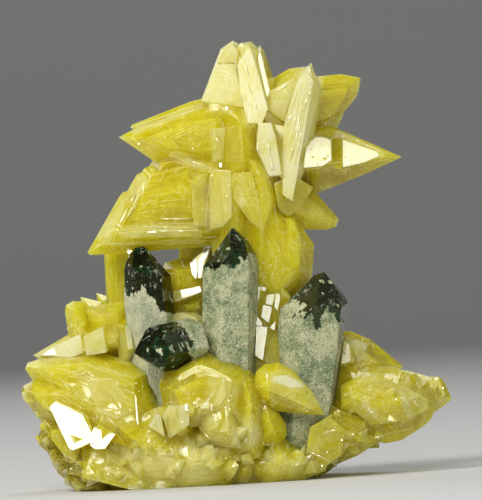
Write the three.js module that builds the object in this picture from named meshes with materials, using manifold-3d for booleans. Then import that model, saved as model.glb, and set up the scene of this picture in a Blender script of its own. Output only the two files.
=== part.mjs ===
// A mineral specimen: one intergrown cluster of native sulfur crystals, with four quartz crystals in it.
// Millimetres, +Z up, the viewer looks along +Y. It rests on the trimmed flat underside of the sulfur.
import * as THREE from 'three';
import { ConvexGeometry } from 'three/addons/geometries/ConvexGeometry.js';
import { mergeVertices } from 'three/addons/utils/BufferGeometryUtils.js';
import Module from 'manifold-3d';

const wasm = await Module();
wasm.setup();

// Driving dimensions
// The crystals are given as they stand before the trimmed base is laid flat, which turns them by LEAN.
const LEAN = THREE.MathUtils.degToRad(3.2);
const BASE_HEIGHT = 1.75; // where the base crosses the middle of the cluster, before it is laid flat
const SOCKET_GAP = 0.3; // clearance round the quartz in its sockets
const RIM_MARGIN = 0.12; // how far outside its given outline a crystal's edge lies
const QUARTZ_SLOPE = THREE.MathUtils.degToRad(38.2); // between an end face of quartz and its axis

// Native sulfur is orthorhombic, with these axial ratios
const AXIAL = { a: 0.813, b: 1, c: 1.903 };

const COLOURS = {
  sulfur: new THREE.Color(0.6, 0.52, 0.05),
  quartz: new THREE.Color(0.3, 0.34, 0.19),
};

// Lays the trimmed base flat: a turn about Y, then down to z = 0
const layFlat = new THREE.Matrix4()
  .makeTranslation(0, 0, -BASE_HEIGHT * Math.cos(LEAN))
  .multiply(new THREE.Matrix4().makeRotationY(LEAN));

// A closed three.js geometry as a solid that can be joined and cut
function solidOf(geometry) {
  const bare = new THREE.BufferGeometry().setAttribute('position', geometry.getAttribute('position'));
  if (geometry.index) bare.setIndex(geometry.index);
  const merged = mergeVertices(bare, 1e-4);
  return new wasm.Manifold(
    new wasm.Mesh({
      numProp: 3,
      vertProperties: new Float32Array(merged.getAttribute('position').array),
      triVerts: new Uint32Array(merged.index.array),
    }),
  );
}

function meshOf(name, solid, material) {
  const made = solid.getMesh();
  const geometry = new THREE.BufferGeometry();
  geometry.setAttribute('position', new THREE.BufferAttribute(new Float32Array(made.vertProperties), 3));
  geometry.setIndex(new THREE.BufferAttribute(new Uint32Array(made.triVerts), 1));
  geometry.computeVertexNormals();
  const mesh = new THREE.Mesh(geometry, material);
  mesh.name = name;
  return mesh;
}

function hullOf(points) {
  return solidOf(new ConvexGeometry(points.map((p) => p.clone().applyMatrix4(layFlat))));
}

// The corners of the convex body that planes enclose, each { normal, distance } from the body's middle
function cornersOf(planes) {
  const found = [];
  const matrix = new THREE.Matrix3();
  for (let i = 0; i < planes.length; i++) {
    for (let j = i + 1; j < planes.length; j++) {
      for (let k = j + 1; k < planes.length; k++) {
        const [p, q, r] = [planes[i], planes[j], planes[k]];
        matrix.set(...p.normal.toArray(), ...q.normal.toArray(), ...r.normal.toArray());
        if (Math.abs(matrix.determinant()) < 1e-4) continue;
        const corner = new THREE.Vector3(p.distance, q.distance, r.distance).applyMatrix3(matrix.invert());
        if (planes.some((s) => corner.dot(s.normal) > s.distance + 1e-4)) continue;
        if (found.some((other) => other.distanceTo(corner) < 1e-3)) continue;
        found.push(corner);
      }
    }
  }
  return found;
}

// A crystal given by what the viewer sees: rim is its outline as [x, z] pairs, in order, at depth y. The
// outline may be tilted: tilt is how much deeper it gets for each millimetre to the right and up. From the
// outline a bevel rises to a flat near face, and another runs back to a flat far face. faces adds near
// faces, each through three points.
function crystal({ rim, y, tilt = [0, 0], rise = 2, slope = 38, behind = 5, backSlope = 28, faces = [] }) {
  const middle = new THREE.Vector3();
  for (const [x, z] of rim) middle.add(new THREE.Vector3(x / rim.length, 0, z / rim.length));
  middle.y = y;
  const corners = rim.map(([x, z]) => {
    const depth = y + tilt[0] * (x - middle.x) + tilt[1] * (z - middle.z);
    return new THREE.Vector3(x, depth, z).sub(middle);
  });
  const toViewer = new THREE.Vector3(tilt[0], -1, tilt[1]).normalize();
  const planes = [
    { normal: toViewer.clone(), distance: rise },
    { normal: toViewer.clone().negate(), distance: behind },
  ];
  corners.forEach((from, i) => {
    const along = corners[(i + 1) % corners.length].clone().sub(from).normalize();
    const out = new THREE.Vector3().crossVectors(toViewer, along).normalize();
    if (out.dot(from) < 0) out.negate();
    for (const [angle, side] of [[slope, 1], [backSlope, -1]]) {
      const radians = THREE.MathUtils.degToRad(angle);
      const normal = out.clone().multiplyScalar(Math.cos(radians));
      normal.addScaledVector(toViewer, side * Math.sin(radians));
      planes.push({ normal, distance: normal.dot(from) + RIM_MARGIN });
    }
  });
  for (const face of faces) {
    const [a, b, c] = face.map((p) => new THREE.Vector3(...p).sub(middle));
    const normal = new THREE.Vector3().crossVectors(b.sub(a), c.sub(a)).normalize();
    if (normal.dot(toViewer) < 0) normal.negate();
    planes.push({ normal, distance: normal.dot(a) });
  }
  return hullOf(cornersOf(planes).map((p) => p.add(middle)));
}

// A lump of massive sulfur between the crystals, given by its corners
function lump(corners) {
  return hullOf(corners.map((p) => new THREE.Vector3(...p)));
}

// A sulfur bipyramid with its true angles: steep pyramid faces, blunted by flatter ones and by small end
// faces. half is half its length from tip to tip, axis the way its tip points, and turn is about that
// axis in degrees.
function bipyramid({ at, axis, half, turn = 0, blunt = 0.74, cap = 0.88, flat = 1 }) {
  const planes = [];
  const face = (h, k, l, reach) => {
    const normal = new THREE.Vector3(h / AXIAL.a, k / AXIAL.b, l / AXIAL.c);
    const length = normal.length();
    planes.push({ normal: normal.divideScalar(length), distance: (reach * half) / (AXIAL.c * length) });
  };
  for (const h of [-1, 1]) {
    for (const k of [-1, 1]) {
      for (const l of [-1, 1]) {
        face(h, k, l, 1);
        face(h, k, 3 * l, 3 * blunt);
      }
    }
  }
  for (const l of [-1, 1]) face(0, 0, l, cap);
  for (const k of [-1, 1]) {
    planes.push({ normal: new THREE.Vector3(0, k, 0), distance: 0.46 * half * flat });
  }
  const pose = new THREE.Quaternion().setFromUnitVectors(
    new THREE.Vector3(0, 0, 1),
    new THREE.Vector3(...axis).normalize(),
  );
  const spin = new THREE.Quaternion().setFromAxisAngle(
    new THREE.Vector3(0, 0, 1),
    THREE.MathUtils.degToRad(turn),
  );
  pose.multiply(spin);
  return hullOf(cornersOf(planes).map((p) => p.applyQuaternion(pose).add(new THREE.Vector3(...at))));
}

// A quartz crystal: a six-sided prism ended by six sloping faces. ends holds how far up the axis each of
// those faces would meet it, as a share of the length, and sides how far each prism face stands from the
// axis, as a share of half the width. steep adds steeper faces: the way each points, its angle to the
// axis, and how far it is from the axis at the tip. grow widens the crystal all round, for its socket.
function quartz({ foot, tip, across, turn, ends, sides, steep = [], grow = 0 }) {
  const start = new THREE.Vector3(...foot);
  const axis = new THREE.Vector3(...tip).sub(start);
  const length = axis.length();
  const pose = new THREE.Quaternion().setFromUnitVectors(new THREE.Vector3(0, 0, 1), axis.normalize());
  const planes = [{ normal: new THREE.Vector3(0, 0, -1), distance: grow }];
  const face = (degrees, slope, reach, height) => {
    const around = THREE.MathUtils.degToRad(degrees);
    const normal = new THREE.Vector3(Math.cos(around), Math.sin(around), 0).multiplyScalar(Math.cos(slope));
    normal.z = Math.sin(slope);
    planes.push({ normal, distance: reach * Math.cos(slope) + height * Math.sin(slope) + grow });
  };
  for (let side = 0; side < 6; side++) {
    face(turn + side * 60, 0, (across / 2) * sides[side], 0);
    face(turn + side * 60, QUARTZ_SLOPE, 0, ends[side] * length);
  }
  for (const [degrees, slope, reach] of steep) {
    face(degrees, THREE.MathUtils.degToRad(slope), reach, length);
  }
  return hullOf(cornersOf(planes).map((p) => p.applyQuaternion(pose).add(start)));
}

// The crown at the top: a pale truncated blade with a plate on its face, a ridged blade and a slim spike
const crown = [
  { rim: [[-6.8, 77.8], [-2.9, 88.2], [-0.6, 89.8], [0.5, 89.2], [3.2, 86], [3, 72], [-2, 70],
    [-6.7, 74.6]], y: 0.5, tilt: [-0.12, 0.26], rise: 2.6, slope: 36, behind: 4 },
  { rim: [[-3.7, 85], [-0.4, 85.2], [1.4, 77], [0.8, 71], [-4.4, 71], [-5.6, 76.6]], y: -0.6,
    tilt: [-0.12, 0.26], rise: 2.5, slope: 22, behind: 2 },
  { rim: [[0.6, 88.6], [1, 89.3], [3, 89.6], [4.3, 88.4], [5.1, 84], [6.6, 76], [5.4, 70], [1.6, 70],
    [0.2, 79]], y: -0.8, tilt: [0, 0.24], rise: 6, slope: 30, behind: 5, faces: [[[2.6, -2.2, 88.4],
    [4, -7.6, 71], [-0.6, -4.2, 75]], [[2.6, -2.2, 88.4], [4, -7.6, 71], [7.4, -5.4, 74]]] },
  { rim: [[4.2, 86.6], [4.8, 88.8], [5.6, 87.7], [7.5, 82.2], [8.2, 78], [6.4, 72], [4, 78]], y: 0.6,
    tilt: [0, 0.24], rise: 5, slope: 24, behind: 4, faces: [[[5, -1.2, 88.4], [6.2, -5.6, 74],
    [3, -2.4, 76]], [[5, -1.2, 88.4], [6.2, -5.6, 74], [9, -3, 76]]] },
  { rim: [[-1.4, 88.6], [-0.2, 89.3], [1.2, 87.6], [1, 80], [-1, 80]], y: 1.4, tilt: [0, 0.2], rise: 3.4,
    slope: 18, behind: 3 },
];

// Right side of the spray
const rightSide = [
  // shoulder behind the long blade
  { rim: [[5.4, 78.6], [7.4, 82.2], [10.8, 84.2], [13.6, 84.6], [15, 84.5], [15.8, 82.4], [15.6, 76],
    [12.2, 70.6], [8, 71.4], [5.8, 75]], y: 1.6, tilt: [0.1, 0.22], rise: 4, slope: 44, behind: 5 },
  { rim: [[8.4, 80.6], [11.6, 82.6], [13, 81], [12.4, 74], [9, 73.6], [7.4, 76]], y: -0.6,
    tilt: [0.1, 0.22], rise: 2.6, slope: 24, behind: 2 },
  // the long diagonal blade, ridged along its length, and a sliver at its end
  { rim: [[12.4, 81.4], [14, 83.6], [15.6, 83.2], [17.2, 80.4], [17.1, 78], [14.2, 65.6], [12.2, 60.4],
    [11.2, 58.2], [10, 57.5], [8.6, 58.5], [9, 63], [10.8, 74]], y: -5.6, tilt: [-0.12, 0.12], rise: 3,
    slope: 26, behind: 3, faces: [[[14.6, -6.4, 82], [10, -11, 59.4], [8, -8.4, 62]], [[14.6, -6.4, 82],
    [10, -11, 59.4], [16.8, -4.6, 72]]] },
  { rim: [[13, 80.6], [14.2, 81.2], [15.2, 79.4], [12.8, 68], [11, 60.4], [10, 61], [11.6, 72]], y: -6.4,
    tilt: [-0.12, 0.12], rise: 2.6, slope: 14, behind: 2 },
  { rim: [[13.4, 80], [14.2, 84.4], [15, 85.2], [15.9, 82.4], [15.6, 79]], y: -3.6, tilt: [0, 0.2],
    rise: 2.2, slope: 20, behind: 2 },
  // blunt crystal behind the blade
  { rim: [[13, 82.3], [21.2, 83.1], [24.9, 82.4], [24.6, 80.4], [24.2, 79], [23.3, 77.8], [17, 70.4],
    [12.4, 69.6]], y: 4, tilt: [0.16, -0.16], rise: 4.2, slope: 46, behind: 4 },
  { rim: [[14, 78], [20.2, 77], [21.6, 75.5], [20.1, 72.2], [17, 68.6], [13, 69]], y: 4.4,
    tilt: [0.16, -0.16], rise: 3.6, slope: 42, behind: 4 },
  { rim: [[15, 80.6], [22.6, 81.4], [22.4, 79.4], [19.4, 74.6], [15, 73]], y: 1.6, tilt: [0.16, -0.16],
    rise: 2.3, slope: 20, behind: 2 },
  // right point: one broad face turned up, with two raised panels, and one turned down
  { rim: [[32.9, 66.6], [21.5, 71.7], [19.2, 72.6], [13, 73.2], [9.6, 70], [9.6, 63], [12.6, 60.3],
    [15.8, 59.3], [26, 63.4]], y: 1.4, tilt: [-0.07, 0], rise: 12, slope: 28, behind: 6,
    faces: [[[32.4, -1, 66.6], [13.4, -9.4, 63.8], [15, -0.4, 72.6]], [[32.4, -1, 66.6],
    [13.4, -9.4, 63.8], [15, -2.2, 59.8]]] },
  { rim: [[19, 70.6], [19.4, 66.6], [18.4, 64.9], [11.8, 63.9], [11.8, 71.4]], y: 1, rise: 12, slope: 2,
    behind: 3, faces: [[[32.4, -1.4, 66.6], [13.4, -9.8, 63.8], [15, -0.8, 72.6]]] },
  { rim: [[21.6, 70], [28.2, 67.6], [28.4, 66.5], [21.8, 65.3]], y: 1, rise: 12, slope: 2, behind: 3,
    faces: [[[32.4, -1.4, 66.6], [13.4, -9.8, 63.8], [15, -0.8, 72.6]]] },
  // short point below it
  { rim: [[11.6, 62], [15.6, 59.8], [20.5, 54.2], [20, 52.8], [18.2, 52.2], [13, 52.2], [8.6, 53],
    [8, 59]], y: 0, tilt: [0.12, 0], rise: 5, slope: 34, behind: 5, faces: [[[20.4, -0.6, 54.6],
    [10.6, -6, 57], [13, -3.4, 61.6]], [[20.4, -0.6, 54.6], [10.6, -6, 57], [13, -4, 52]]] },
  // broad column at the lower right
  { rim: [[12.4, 53.6], [14.7, 50.8], [15.5, 49], [15.2, 44], [14.9, 42.1], [10, 37.4], [5, 36], [1, 42],
    [2, 57], [8, 60]], y: -2.6, tilt: [0.14, 0.04], rise: 4.2, slope: 38, behind: 8 },
  { rim: [[11.6, 54.6], [13.4, 50.4], [13.2, 44], [10.4, 43], [9, 47], [9.6, 54.6]], y: -4.6,
    tilt: [0.14, 0.04], rise: 2.7, slope: 22, behind: 3 },
];

// Middle and left side of the spray
const leftSide = [
  { rim: [[-5.2, 61], [-2.8, 65.6], [2, 67], [4.6, 58], [3.6, 46], [0, 38], [-3.6, 42], [-4.8, 48]],
    y: -3.4, tilt: [-0.05, 0], rise: 3.4, slope: 46, behind: 9 },
  { rim: [[-2.6, 61], [-1, 63.8], [1.2, 63], [1.8, 52], [0.4, 46], [-1.6, 48]], y: -5, tilt: [-0.05, 0],
    rise: 2.2, slope: 30, behind: 2 },
  { rim: [[0.4, 69.6], [8, 65], [10.8, 58], [8.4, 48], [6.4, 38], [3, 37.4], [0.8, 46], [0.8, 58]],
    y: -3.6, tilt: [0.06, -0.04], rise: 4, slope: 44, behind: 10 },
  { rim: [[3.4, 65.4], [7, 62.8], [8.6, 58], [6.4, 50], [4.6, 44], [3.2, 50]], y: -5.6,
    tilt: [0.06, -0.04], rise: 2.5, slope: 34, behind: 2 },
  { rim: [[5.4, 73], [7.5, 73.1], [9.3, 62.8], [7, 62.4], [4.4, 68], [4.2, 71]], y: -6.6, tilt: [0, 0.06],
    rise: 3, slope: 24, behind: 4 },
  { rim: [[-3.4, 76.6], [1, 78], [6, 75], [6.4, 66], [3, 60], [-3.4, 61]], y: -3.6, tilt: [0.02, 0.06],
    rise: 3.2, slope: 54, behind: 6 },
  // upper left crystal, with a twin point behind the first
  { rim: [[-23.1, 70.5], [-20.4, 71.9], [-8, 76], [-1.2, 77], [-1.2, 65.4], [-4.6, 64], [-16.2, 65.8]],
    y: -2.4, tilt: [-0.06, 0.1], rise: 3, slope: 44, behind: 7 },
  { rim: [[-14.4, 70.6], [-8, 73.6], [-2.8, 74.4], [-2.8, 67], [-6.6, 66.2], [-12, 67.6]], y: -4.4,
    tilt: [-0.06, 0.1], rise: 1.4, slope: 40, behind: 2 },
  { rim: [[-20.9, 72.6], [-20.6, 73], [-9, 77.6], [-6.6, 78.2], [0, 77.8], [0, 70], [-16.6, 69.2]],
    y: 1.6, tilt: [-0.04, 0.14], rise: 3.4, slope: 42, behind: 5 },
  // lower left crystal: five growth plates, each standing behind the last and reaching higher
  { rim: [[-29.4, 47.5], [-28.9, 47.1], [-17, 47.9], [-1, 49.2], [0, 58], [-8, 62], [-20, 60],
    [-22.4, 59.4], [-23.2, 58.4]], y: -3, tilt: [0, 0.02], rise: 3, slope: 42, behind: 5 },
  { rim: [[-27, 50.2], [-19.7, 62.9], [-18.9, 63.3], [-8, 66], [-5, 50]], y: -1.8, tilt: [0, 0.02],
    rise: 3.4, slope: 36, behind: 5 },
  { rim: [[-25.6, 51.2], [-18.2, 64.2], [-17.3, 64.6], [-8, 67], [-5, 51]], y: -0.8, tilt: [0, 0.02],
    rise: 3.8, slope: 30, behind: 5 },
  { rim: [[-24, 51.6], [-16, 66.9], [-6, 70], [-5, 52]], y: 0.4, tilt: [0, 0.02], rise: 4.2, slope: 30,
    behind: 5 },
  { rim: [[-23, 52.4], [-6.8, 53], [-6.6, 61], [-9.8, 62.4], [-19.6, 59.4]], y: -5, tilt: [0, 0.02],
    rise: 1.5, slope: 48, behind: 2 },
  { rim: [[-18.4, 54], [-8.2, 54.4], [-8, 60.6], [-10.4, 61.8], [-16.4, 60]], y: -5.6, tilt: [0, 0.02],
    rise: 1.4, slope: 44, behind: 2 },
];

// The neck that carries the spray: two thin plates on the left, and crystals behind the quartz
const neck = [
  { rim: [[-26.6, 48.4], [-24.4, 48.4], [-24.2, 40], [-24, 29], [-25.4, 29], [-25.9, 39]], y: 4.6,
    rise: 1.6, slope: 20, behind: 2 },
  { rim: [[-25, 48.4], [-22, 48.4], [-21.2, 45], [-20.4, 40], [-20.2, 24], [-25, 24]], y: 4.4,
    tilt: [0, 0.05], rise: 2.4, slope: 24, behind: 3 },
  { rim: [[-11.2, 49.4], [-4, 50.6], [-4, 34], [-11.8, 34]], y: 8, rise: 2, slope: 30, behind: 3 },
  { rim: [[-14.6, 44.2], [-14, 45.4], [-11.2, 46.2], [-6, 46.9], [-4, 46], [-3.6, 40], [-4, 33],
    [-14, 33]], y: 3, tilt: [0, 0.1], rise: 5, slope: 30, behind: 6 },
  { rim: [[-8.4, 47], [-4.6, 50], [-3.6, 50], [-3.6, 42], [-8, 42]], y: 4, rise: 4, slope: 20,
    behind: 5 },
  // pale chip beside the top of the left quartz
  { rim: [[-21.8, 48.2], [-20.2, 48.4], [-20.3, 46.6], [-21, 45.6]], y: -1.6, rise: 1.6, slope: 20,
    behind: 3 },
  // bright upright faces beside the tall quartz
  { rim: [[-8.8, 46.2], [-6, 48.4], [-5.4, 42], [-7.4, 42], [-8.6, 44.6]], y: 1, rise: 12, slope: 6,
    behind: 4, faces: [[[-8.8, -3, 46.2], [-6, -4, 46.2], [-6.6, -5.4, 42.2]]] },
  { rim: [[-13.8, 39.6], [-6.4, 41], [-6.2, 39.2], [-9, 38.8], [-12, 37.2], [-13.8, 37.8]], y: 1,
    rise: 12, slope: 6, behind: 4, faces: [[[-13.6, -2.4, 39.6], [-6.6, -4.8, 41], [-12, -4, 37.4]]] },
  { rim: [[-12, 37.4], [-6.2, 39.4], [-5.8, 34.4], [-11, 34.6]], y: -1, tilt: [0.1, 0.1], rise: 3,
    slope: 30, behind: 5 },
  { rim: [[-13.4, 34.8], [-12, 35.6], [-8, 35.4], [-6, 34.2], [-5.8, 31.6], [-14, 31]], y: -4.4,
    tilt: [0.1, 0.3], rise: 3, slope: 40, behind: 12, backSlope: 6 },
  { rim: [[-15.4, 33], [-13, 33.6], [-7, 33.4], [-5, 29], [-15, 28]], y: -6, tilt: [0.1, 0.3], rise: 3,
    slope: 40, behind: 13, backSlope: 6 },
  { rim: [[2.2, 42.4], [9.8, 42], [10, 22], [2.2, 22]], y: 6, rise: 12, slope: 4, behind: 4,
    faces: [[[3.4, 0.6, 40.6], [9, -1.2, 40], [4, -5.4, 27]]] },
  { rim: [[3.8, 38.6], [6, 39.2], [8.4, 39.6], [9, 38.8], [8.4, 36], [6.4, 26.6], [5.4, 26], [4, 27.4]],
    y: 3, rise: 12, slope: 3, behind: 4, faces: [[[3.4, -0.1, 40.6], [9, -1.9, 40], [4, -6.1, 27]]] },
];

// Left wing of the base
const leftWing = [
  { rim: [[-34.1, 35.6], [-33.9, 36.9], [-32.6, 37.6], [-31, 37.6], [-30, 36.4], [-26, 28], [-29, 24],
    [-33.2, 30]], y: 2, tilt: [-0.1, 0.1], rise: 3, slope: 34, behind: 4 },
  { rim: [[-31, 38.4], [-28.4, 37.8], [-27, 37.4], [-23, 30], [-29, 29]], y: 5, rise: 3, slope: 34,
    behind: 4 },
  { rim: [[-27.9, 39.2], [-25.4, 38.4], [-22, 33], [-27, 31]], y: 8, rise: 2.4, slope: 34, behind: 4 },
  { rim: [[-29.8, 35.8], [-26, 37.2], [-21, 38], [-19.6, 27], [-28, 26]], y: 0, tilt: [-0.1, 0.15],
    rise: 4, slope: 34, behind: 6 },
  { rim: [[-24, 33], [-21, 35], [-18.6, 34], [-17.6, 26], [-23, 25]], y: -4, tilt: [-0.1, 0.25],
    rise: 3.4, slope: 34, behind: 6 },
  { rim: [[-40.3, 26.9], [-33.2, 31.1], [-26.4, 34.6], [-20, 34.6], [-19, 26], [-30, 24.6], [-39, 26]],
    y: 1.4, tilt: [-0.06, 0], rise: 12, slope: 30, behind: 6, faces: [[[-39.2, -0.2, 26.9],
    [-26, -2.6, 33.4], [-25.4, -8.2, 26.8]]] },
  { rim: [[-30.2, 31.4], [-26, 32.8], [-25, 27.6], [-29.8, 27.4]], y: 1, rise: 12, slope: 3, behind: 3,
    faces: [[[-39.2, -0.5, 26.9], [-26, -2.9, 33.4], [-25.4, -8.5, 26.8]]] },
  { rim: [[-39, 26.2], [-41.5, 25.3], [-42, 24.3], [-40.6, 22.2], [-30, 13.6], [-18, 11.6], [-15.6, 15],
    [-16, 24], [-27, 27.6], [-34, 27.4]], y: -4, tilt: [-0.34, 0.24], rise: 3.8, slope: 42, behind: 8 },
  { rim: [[-36, 23.6], [-31, 25.4], [-21, 23.4], [-18, 16], [-24, 15.4], [-32, 18]], y: -8,
    tilt: [-0.34, 0.24], rise: 1.2, slope: 34, behind: 2 },
  { rim: [[-40.4, 21.8], [-42.4, 20.7], [-42.7, 19.6], [-42.2, 18.2], [-38.7, 14], [-33, 11], [-20, 9],
    [-16, 13], [-17, 18], [-30, 22]], y: -4.6, tilt: [-0.34, 0.14], rise: 3.4, slope: 40, behind: 8 },
  // two mirror-bright faces turned the same way, under the left wing
  { rim: [[-37, 16.7], [-35.8, 18.1], [-29.7, 15.6], [-27.7, 12], [-28.6, 9.4], [-32.1, 8]], y: -5,
    rise: 14, slope: 3, behind: 6, faces: [[[-36.8, -8.6, 16.8], [-28.2, -13.8, 12],
    [-32.2, -14.2, 8.2]]] },
  { rim: [[-28.4, 12.2], [-27.2, 13.7], [-23.6, 11.9], [-25.8, 9], [-27.4, 8.4], [-28.8, 9.6]], y: -8,
    rise: 14, slope: 3, behind: 6, faces: [[[-36.8, -8.2, 16.8], [-28.2, -13.4, 12],
    [-32.2, -13.8, 8.2]]] },
  // broken lower left edge, in layers
  { rim: [[-39, 14.8], [-38.6, 12.6], [-36, 9], [-29, 8], [-30, 16]], y: -2.6, tilt: [-0.3, 0], rise: 2.6,
    slope: 36, behind: 5 },
  { rim: [[-38.7, 12.2], [-39.5, 10.3], [-39.2, 9.1], [-37.6, 7.8], [-31, 5], [-30, 13]], y: -3.4,
    tilt: [-0.3, 0], rise: 2.8, slope: 38, behind: 5 },
  { rim: [[-37.4, 13], [-37, 9.4], [-32.6, 4], [-28, 5], [-31, 14]], y: -6, tilt: [-0.34, 0.1], rise: 2.2,
    slope: 34, behind: 5 },
  { rim: [[-37.8, 8.6], [-36.6, 6.2], [-35.4, 4.2], [-30, 1.6], [-28, 9]], y: -4.6, tilt: [-0.3, -0.1],
    rise: 3, slope: 38, behind: 6 },
  { rim: [[-35.7, 5.4], [-35.4, 3.6], [-33, 1.8], [-27, 1], [-28, 7]], y: -6, tilt: [-0.3, -0.1], rise: 3,
    slope: 38, behind: 6 },
  { rim: [[-33.6, 3], [-32.8, 1.2], [-31, -0.4], [-24, -1.6], [-24, 5]], y: -8, tilt: [-0.3, -0.2],
    rise: 3.4, slope: 40, behind: 8 },
];

// Front and middle of the base
const front = [
  { rim: [[-32.6, 8.6], [-31, 4.4], [-27.4, 0.6], [-22, -1.6], [-15, -1.6], [-12, 6], [-16, 13.4],
    [-24, 15.4], [-28, 13]], y: -9.4, tilt: [-0.4, 0], rise: 4, slope: 52, behind: 7 },
  { rim: [[-24, 13.6], [-25, 6], [-21, -1], [-10, -1.8], [-3, 5], [-6, 13.6], [-15, 16.8]], y: -12.6,
    tilt: [-0.12, 0.06], rise: 5, slope: 54, behind: 8 },
  { rim: [[-17, 11], [-15.4, 3], [-12, -1.8], [0, -1.4], [4.4, 6], [1.4, 13.6], [-9, 14.6]], y: -14,
    tilt: [0.03, -0.03], rise: 5.4, slope: 55, behind: 8 },
  { rim: [[-4, 12], [-3, 2], [-1, -1.2], [3.4, 0.2], [5.8, 5], [5, 12.4], [1, 14]], y: -13,
    tilt: [0.3, 0], rise: 5, slope: 46, behind: 7 },
  { rim: [[-15, 21.6], [-13.6, 24.8], [-9, 27.4], [-6, 27.8], [-2.6, 26.6], [1, 24.8], [3.4, 22.4],
    [2, 14], [-13, 13]], y: -15, tilt: [-0.05, 0.3], rise: 4, slope: 44, behind: 8 },
  { rim: [[-13.4, 21], [-8, 23.6], [-2, 23], [0, 16], [-11.6, 15.4]], y: -19.2, tilt: [0, 0.12],
    rise: 1.2, slope: 50, behind: 3 },
  { rim: [[-4, 22.6], [-2.8, 24.8], [-1.2, 24.8], [0.4, 21], [1, 9], [-6.6, 10], [-7.4, 14.4]], y: -16.6,
    tilt: [0, 0.2], rise: 5, slope: 30, behind: 6, faces: [[[-1.6, -18.4, 24.4], [-0.4, -22.6, 12],
    [-6.6, -20.2, 13]], [[-1.6, -18.4, 24.4], [-0.4, -22.6, 12], [1.6, -20, 14]]] },
  { rim: [[-1, 24.2], [2.8, 24], [4, 22.6], [5.8, 20.4], [6.6, 12], [4.6, 7], [0, 7], [-1.6, 14]], y: -15,
    tilt: [0.12, 0.1], rise: 5, slope: 42, behind: 7 },
  { rim: [[-15, 16.2], [-14, 16.2], [-12.8, 10], [-17.2, 12.6]], y: -12, rise: 12, slope: 12, behind: 5,
    faces: [[[-15, -18, 15.8], [-17, -18.2, 13], [-13.2, -20.2, 11]]] },
  { rim: [[-13.6, 17.6], [-8.6, 18.2], [-7.4, 11], [-13, 9.8]], y: -12, rise: 12, slope: 16, behind: 5,
    faces: [[[-13.4, -18.2, 17.2], [-9, -19.4, 17.6], [-12.8, -20.8, 11]]] },
  // the leaf-shaped crystal in front of the right quartz, and the small crystals round its foot
  { rim: [[3.4, 21], [4.2, 24], [5.8, 25.3], [8.4, 25.7], [11.2, 24.2], [15, 20], [17.7, 15.1],
    [13, 15.7], [7.6, 15.9], [5.2, 17.6]], y: -15, tilt: [0.06, 0], rise: 6, slope: 30, behind: 3,
    faces: [[[17.6, -14.6, 15.4], [5.4, -19.6, 20.8], [9, -16.6, 25.4]], [[17.6, -14.6, 15.4],
    [5.4, -19.6, 20.8], [8, -16.6, 16]]] },
  { rim: [[5.6, 19], [8.4, 15.8], [9.8, 13.6], [10, 11.4], [8.4, 9.4], [4, 9.4], [3, 15]], y: -14.4,
    tilt: [0.2, 0], rise: 3.6, slope: 44, behind: 7 },
  { rim: [[4.6, 8.6], [8, 12], [11, 10], [14.6, 8.6], [18.6, 6.6], [17.6, 4.4], [13, 2.4], [6, 0.2],
    [3, 5]], y: -12.6, tilt: [0.2, 0.1], rise: 4, slope: 46, behind: 8 },
  { rim: [[13.6, 9.6], [17, 11.8], [22.8, 11.8], [24.7, 9.7], [23.6, 8], [21, 7.4], [14.6, 7]], y: -8,
    tilt: [0.16, 0], rise: 3.6, slope: 42, behind: 7 },
  { rim: [[15.6, 8.4], [21.6, 8], [22, 7], [20.6, 5.7], [18.2, 3.8], [15.6, 2.4]], y: -4, tilt: [0.16, 0],
    rise: 3, slope: 36, behind: 6 },
];

// Right wing of the base
const rightWing = [
  { rim: [[19.6, 31.6], [23, 31.6], [26.8, 30], [29, 28.3], [33.3, 24.8], [32.4, 23.6], [27, 20],
    [19, 20]], y: 1.6, tilt: [0.05, 0.25], rise: 5, slope: 38, behind: 7 },
  { rim: [[20.4, 28.4], [22, 30], [24, 29.4], [24.6, 24], [20, 23]], y: -2, tilt: [-0.1, 0.3], rise: 3,
    slope: 24, behind: 3 },
  { rim: [[17, 18], [19.4, 25], [22, 26.4], [27, 25.6], [33, 24], [38, 21.6], [39.8, 18], [39.4, 15.6],
    [38.8, 14.2], [37.2, 12.8], [33, 10.2], [30, 9.6], [24, 10.6], [17, 13]], y: -3, tilt: [0.12, 0.1],
    rise: 6.6, slope: 50, behind: 8 },
  { rim: [[21, 21], [25, 23], [31, 21.6], [35.6, 18], [34, 15], [28, 14.4], [21, 16.6]], y: -7.4,
    tilt: [0.12, 0.1], rise: 2, slope: 52, behind: 3 },
  { rim: [[32, 24.2], [37, 23], [39.4, 22.2], [40, 20], [39, 16], [33, 16]], y: 2, tilt: [0.1, 0.1],
    rise: 4, slope: 42, behind: 5 },
  { rim: [[36.6, 22.6], [40.7, 22.4], [41.6, 21.6], [42.9, 18.8], [43, 18], [41.2, 16.6], [39.3, 15.4],
    [36, 16]], y: 3, tilt: [0.1, 0.1], rise: 4, slope: 40, behind: 5 },
  { rim: [[23, 12], [28.6, 12], [28.7, 8.4], [25.2, 8.2], [23, 9]], y: 5, rise: 3, slope: 34, behind: 4 },
  { rim: [[12, 15.4], [19, 17], [26, 14.4], [26, 9.4], [17, 7], [10.4, 9]], y: -8, tilt: [0.08, -0.1],
    rise: 4.4, slope: 46, behind: 7 },
  { rim: [[20, 27], [27, 26], [30, 21], [26, 16], [18, 16]], y: 4, rise: 6, slope: 40, behind: 10 },
];

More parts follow.
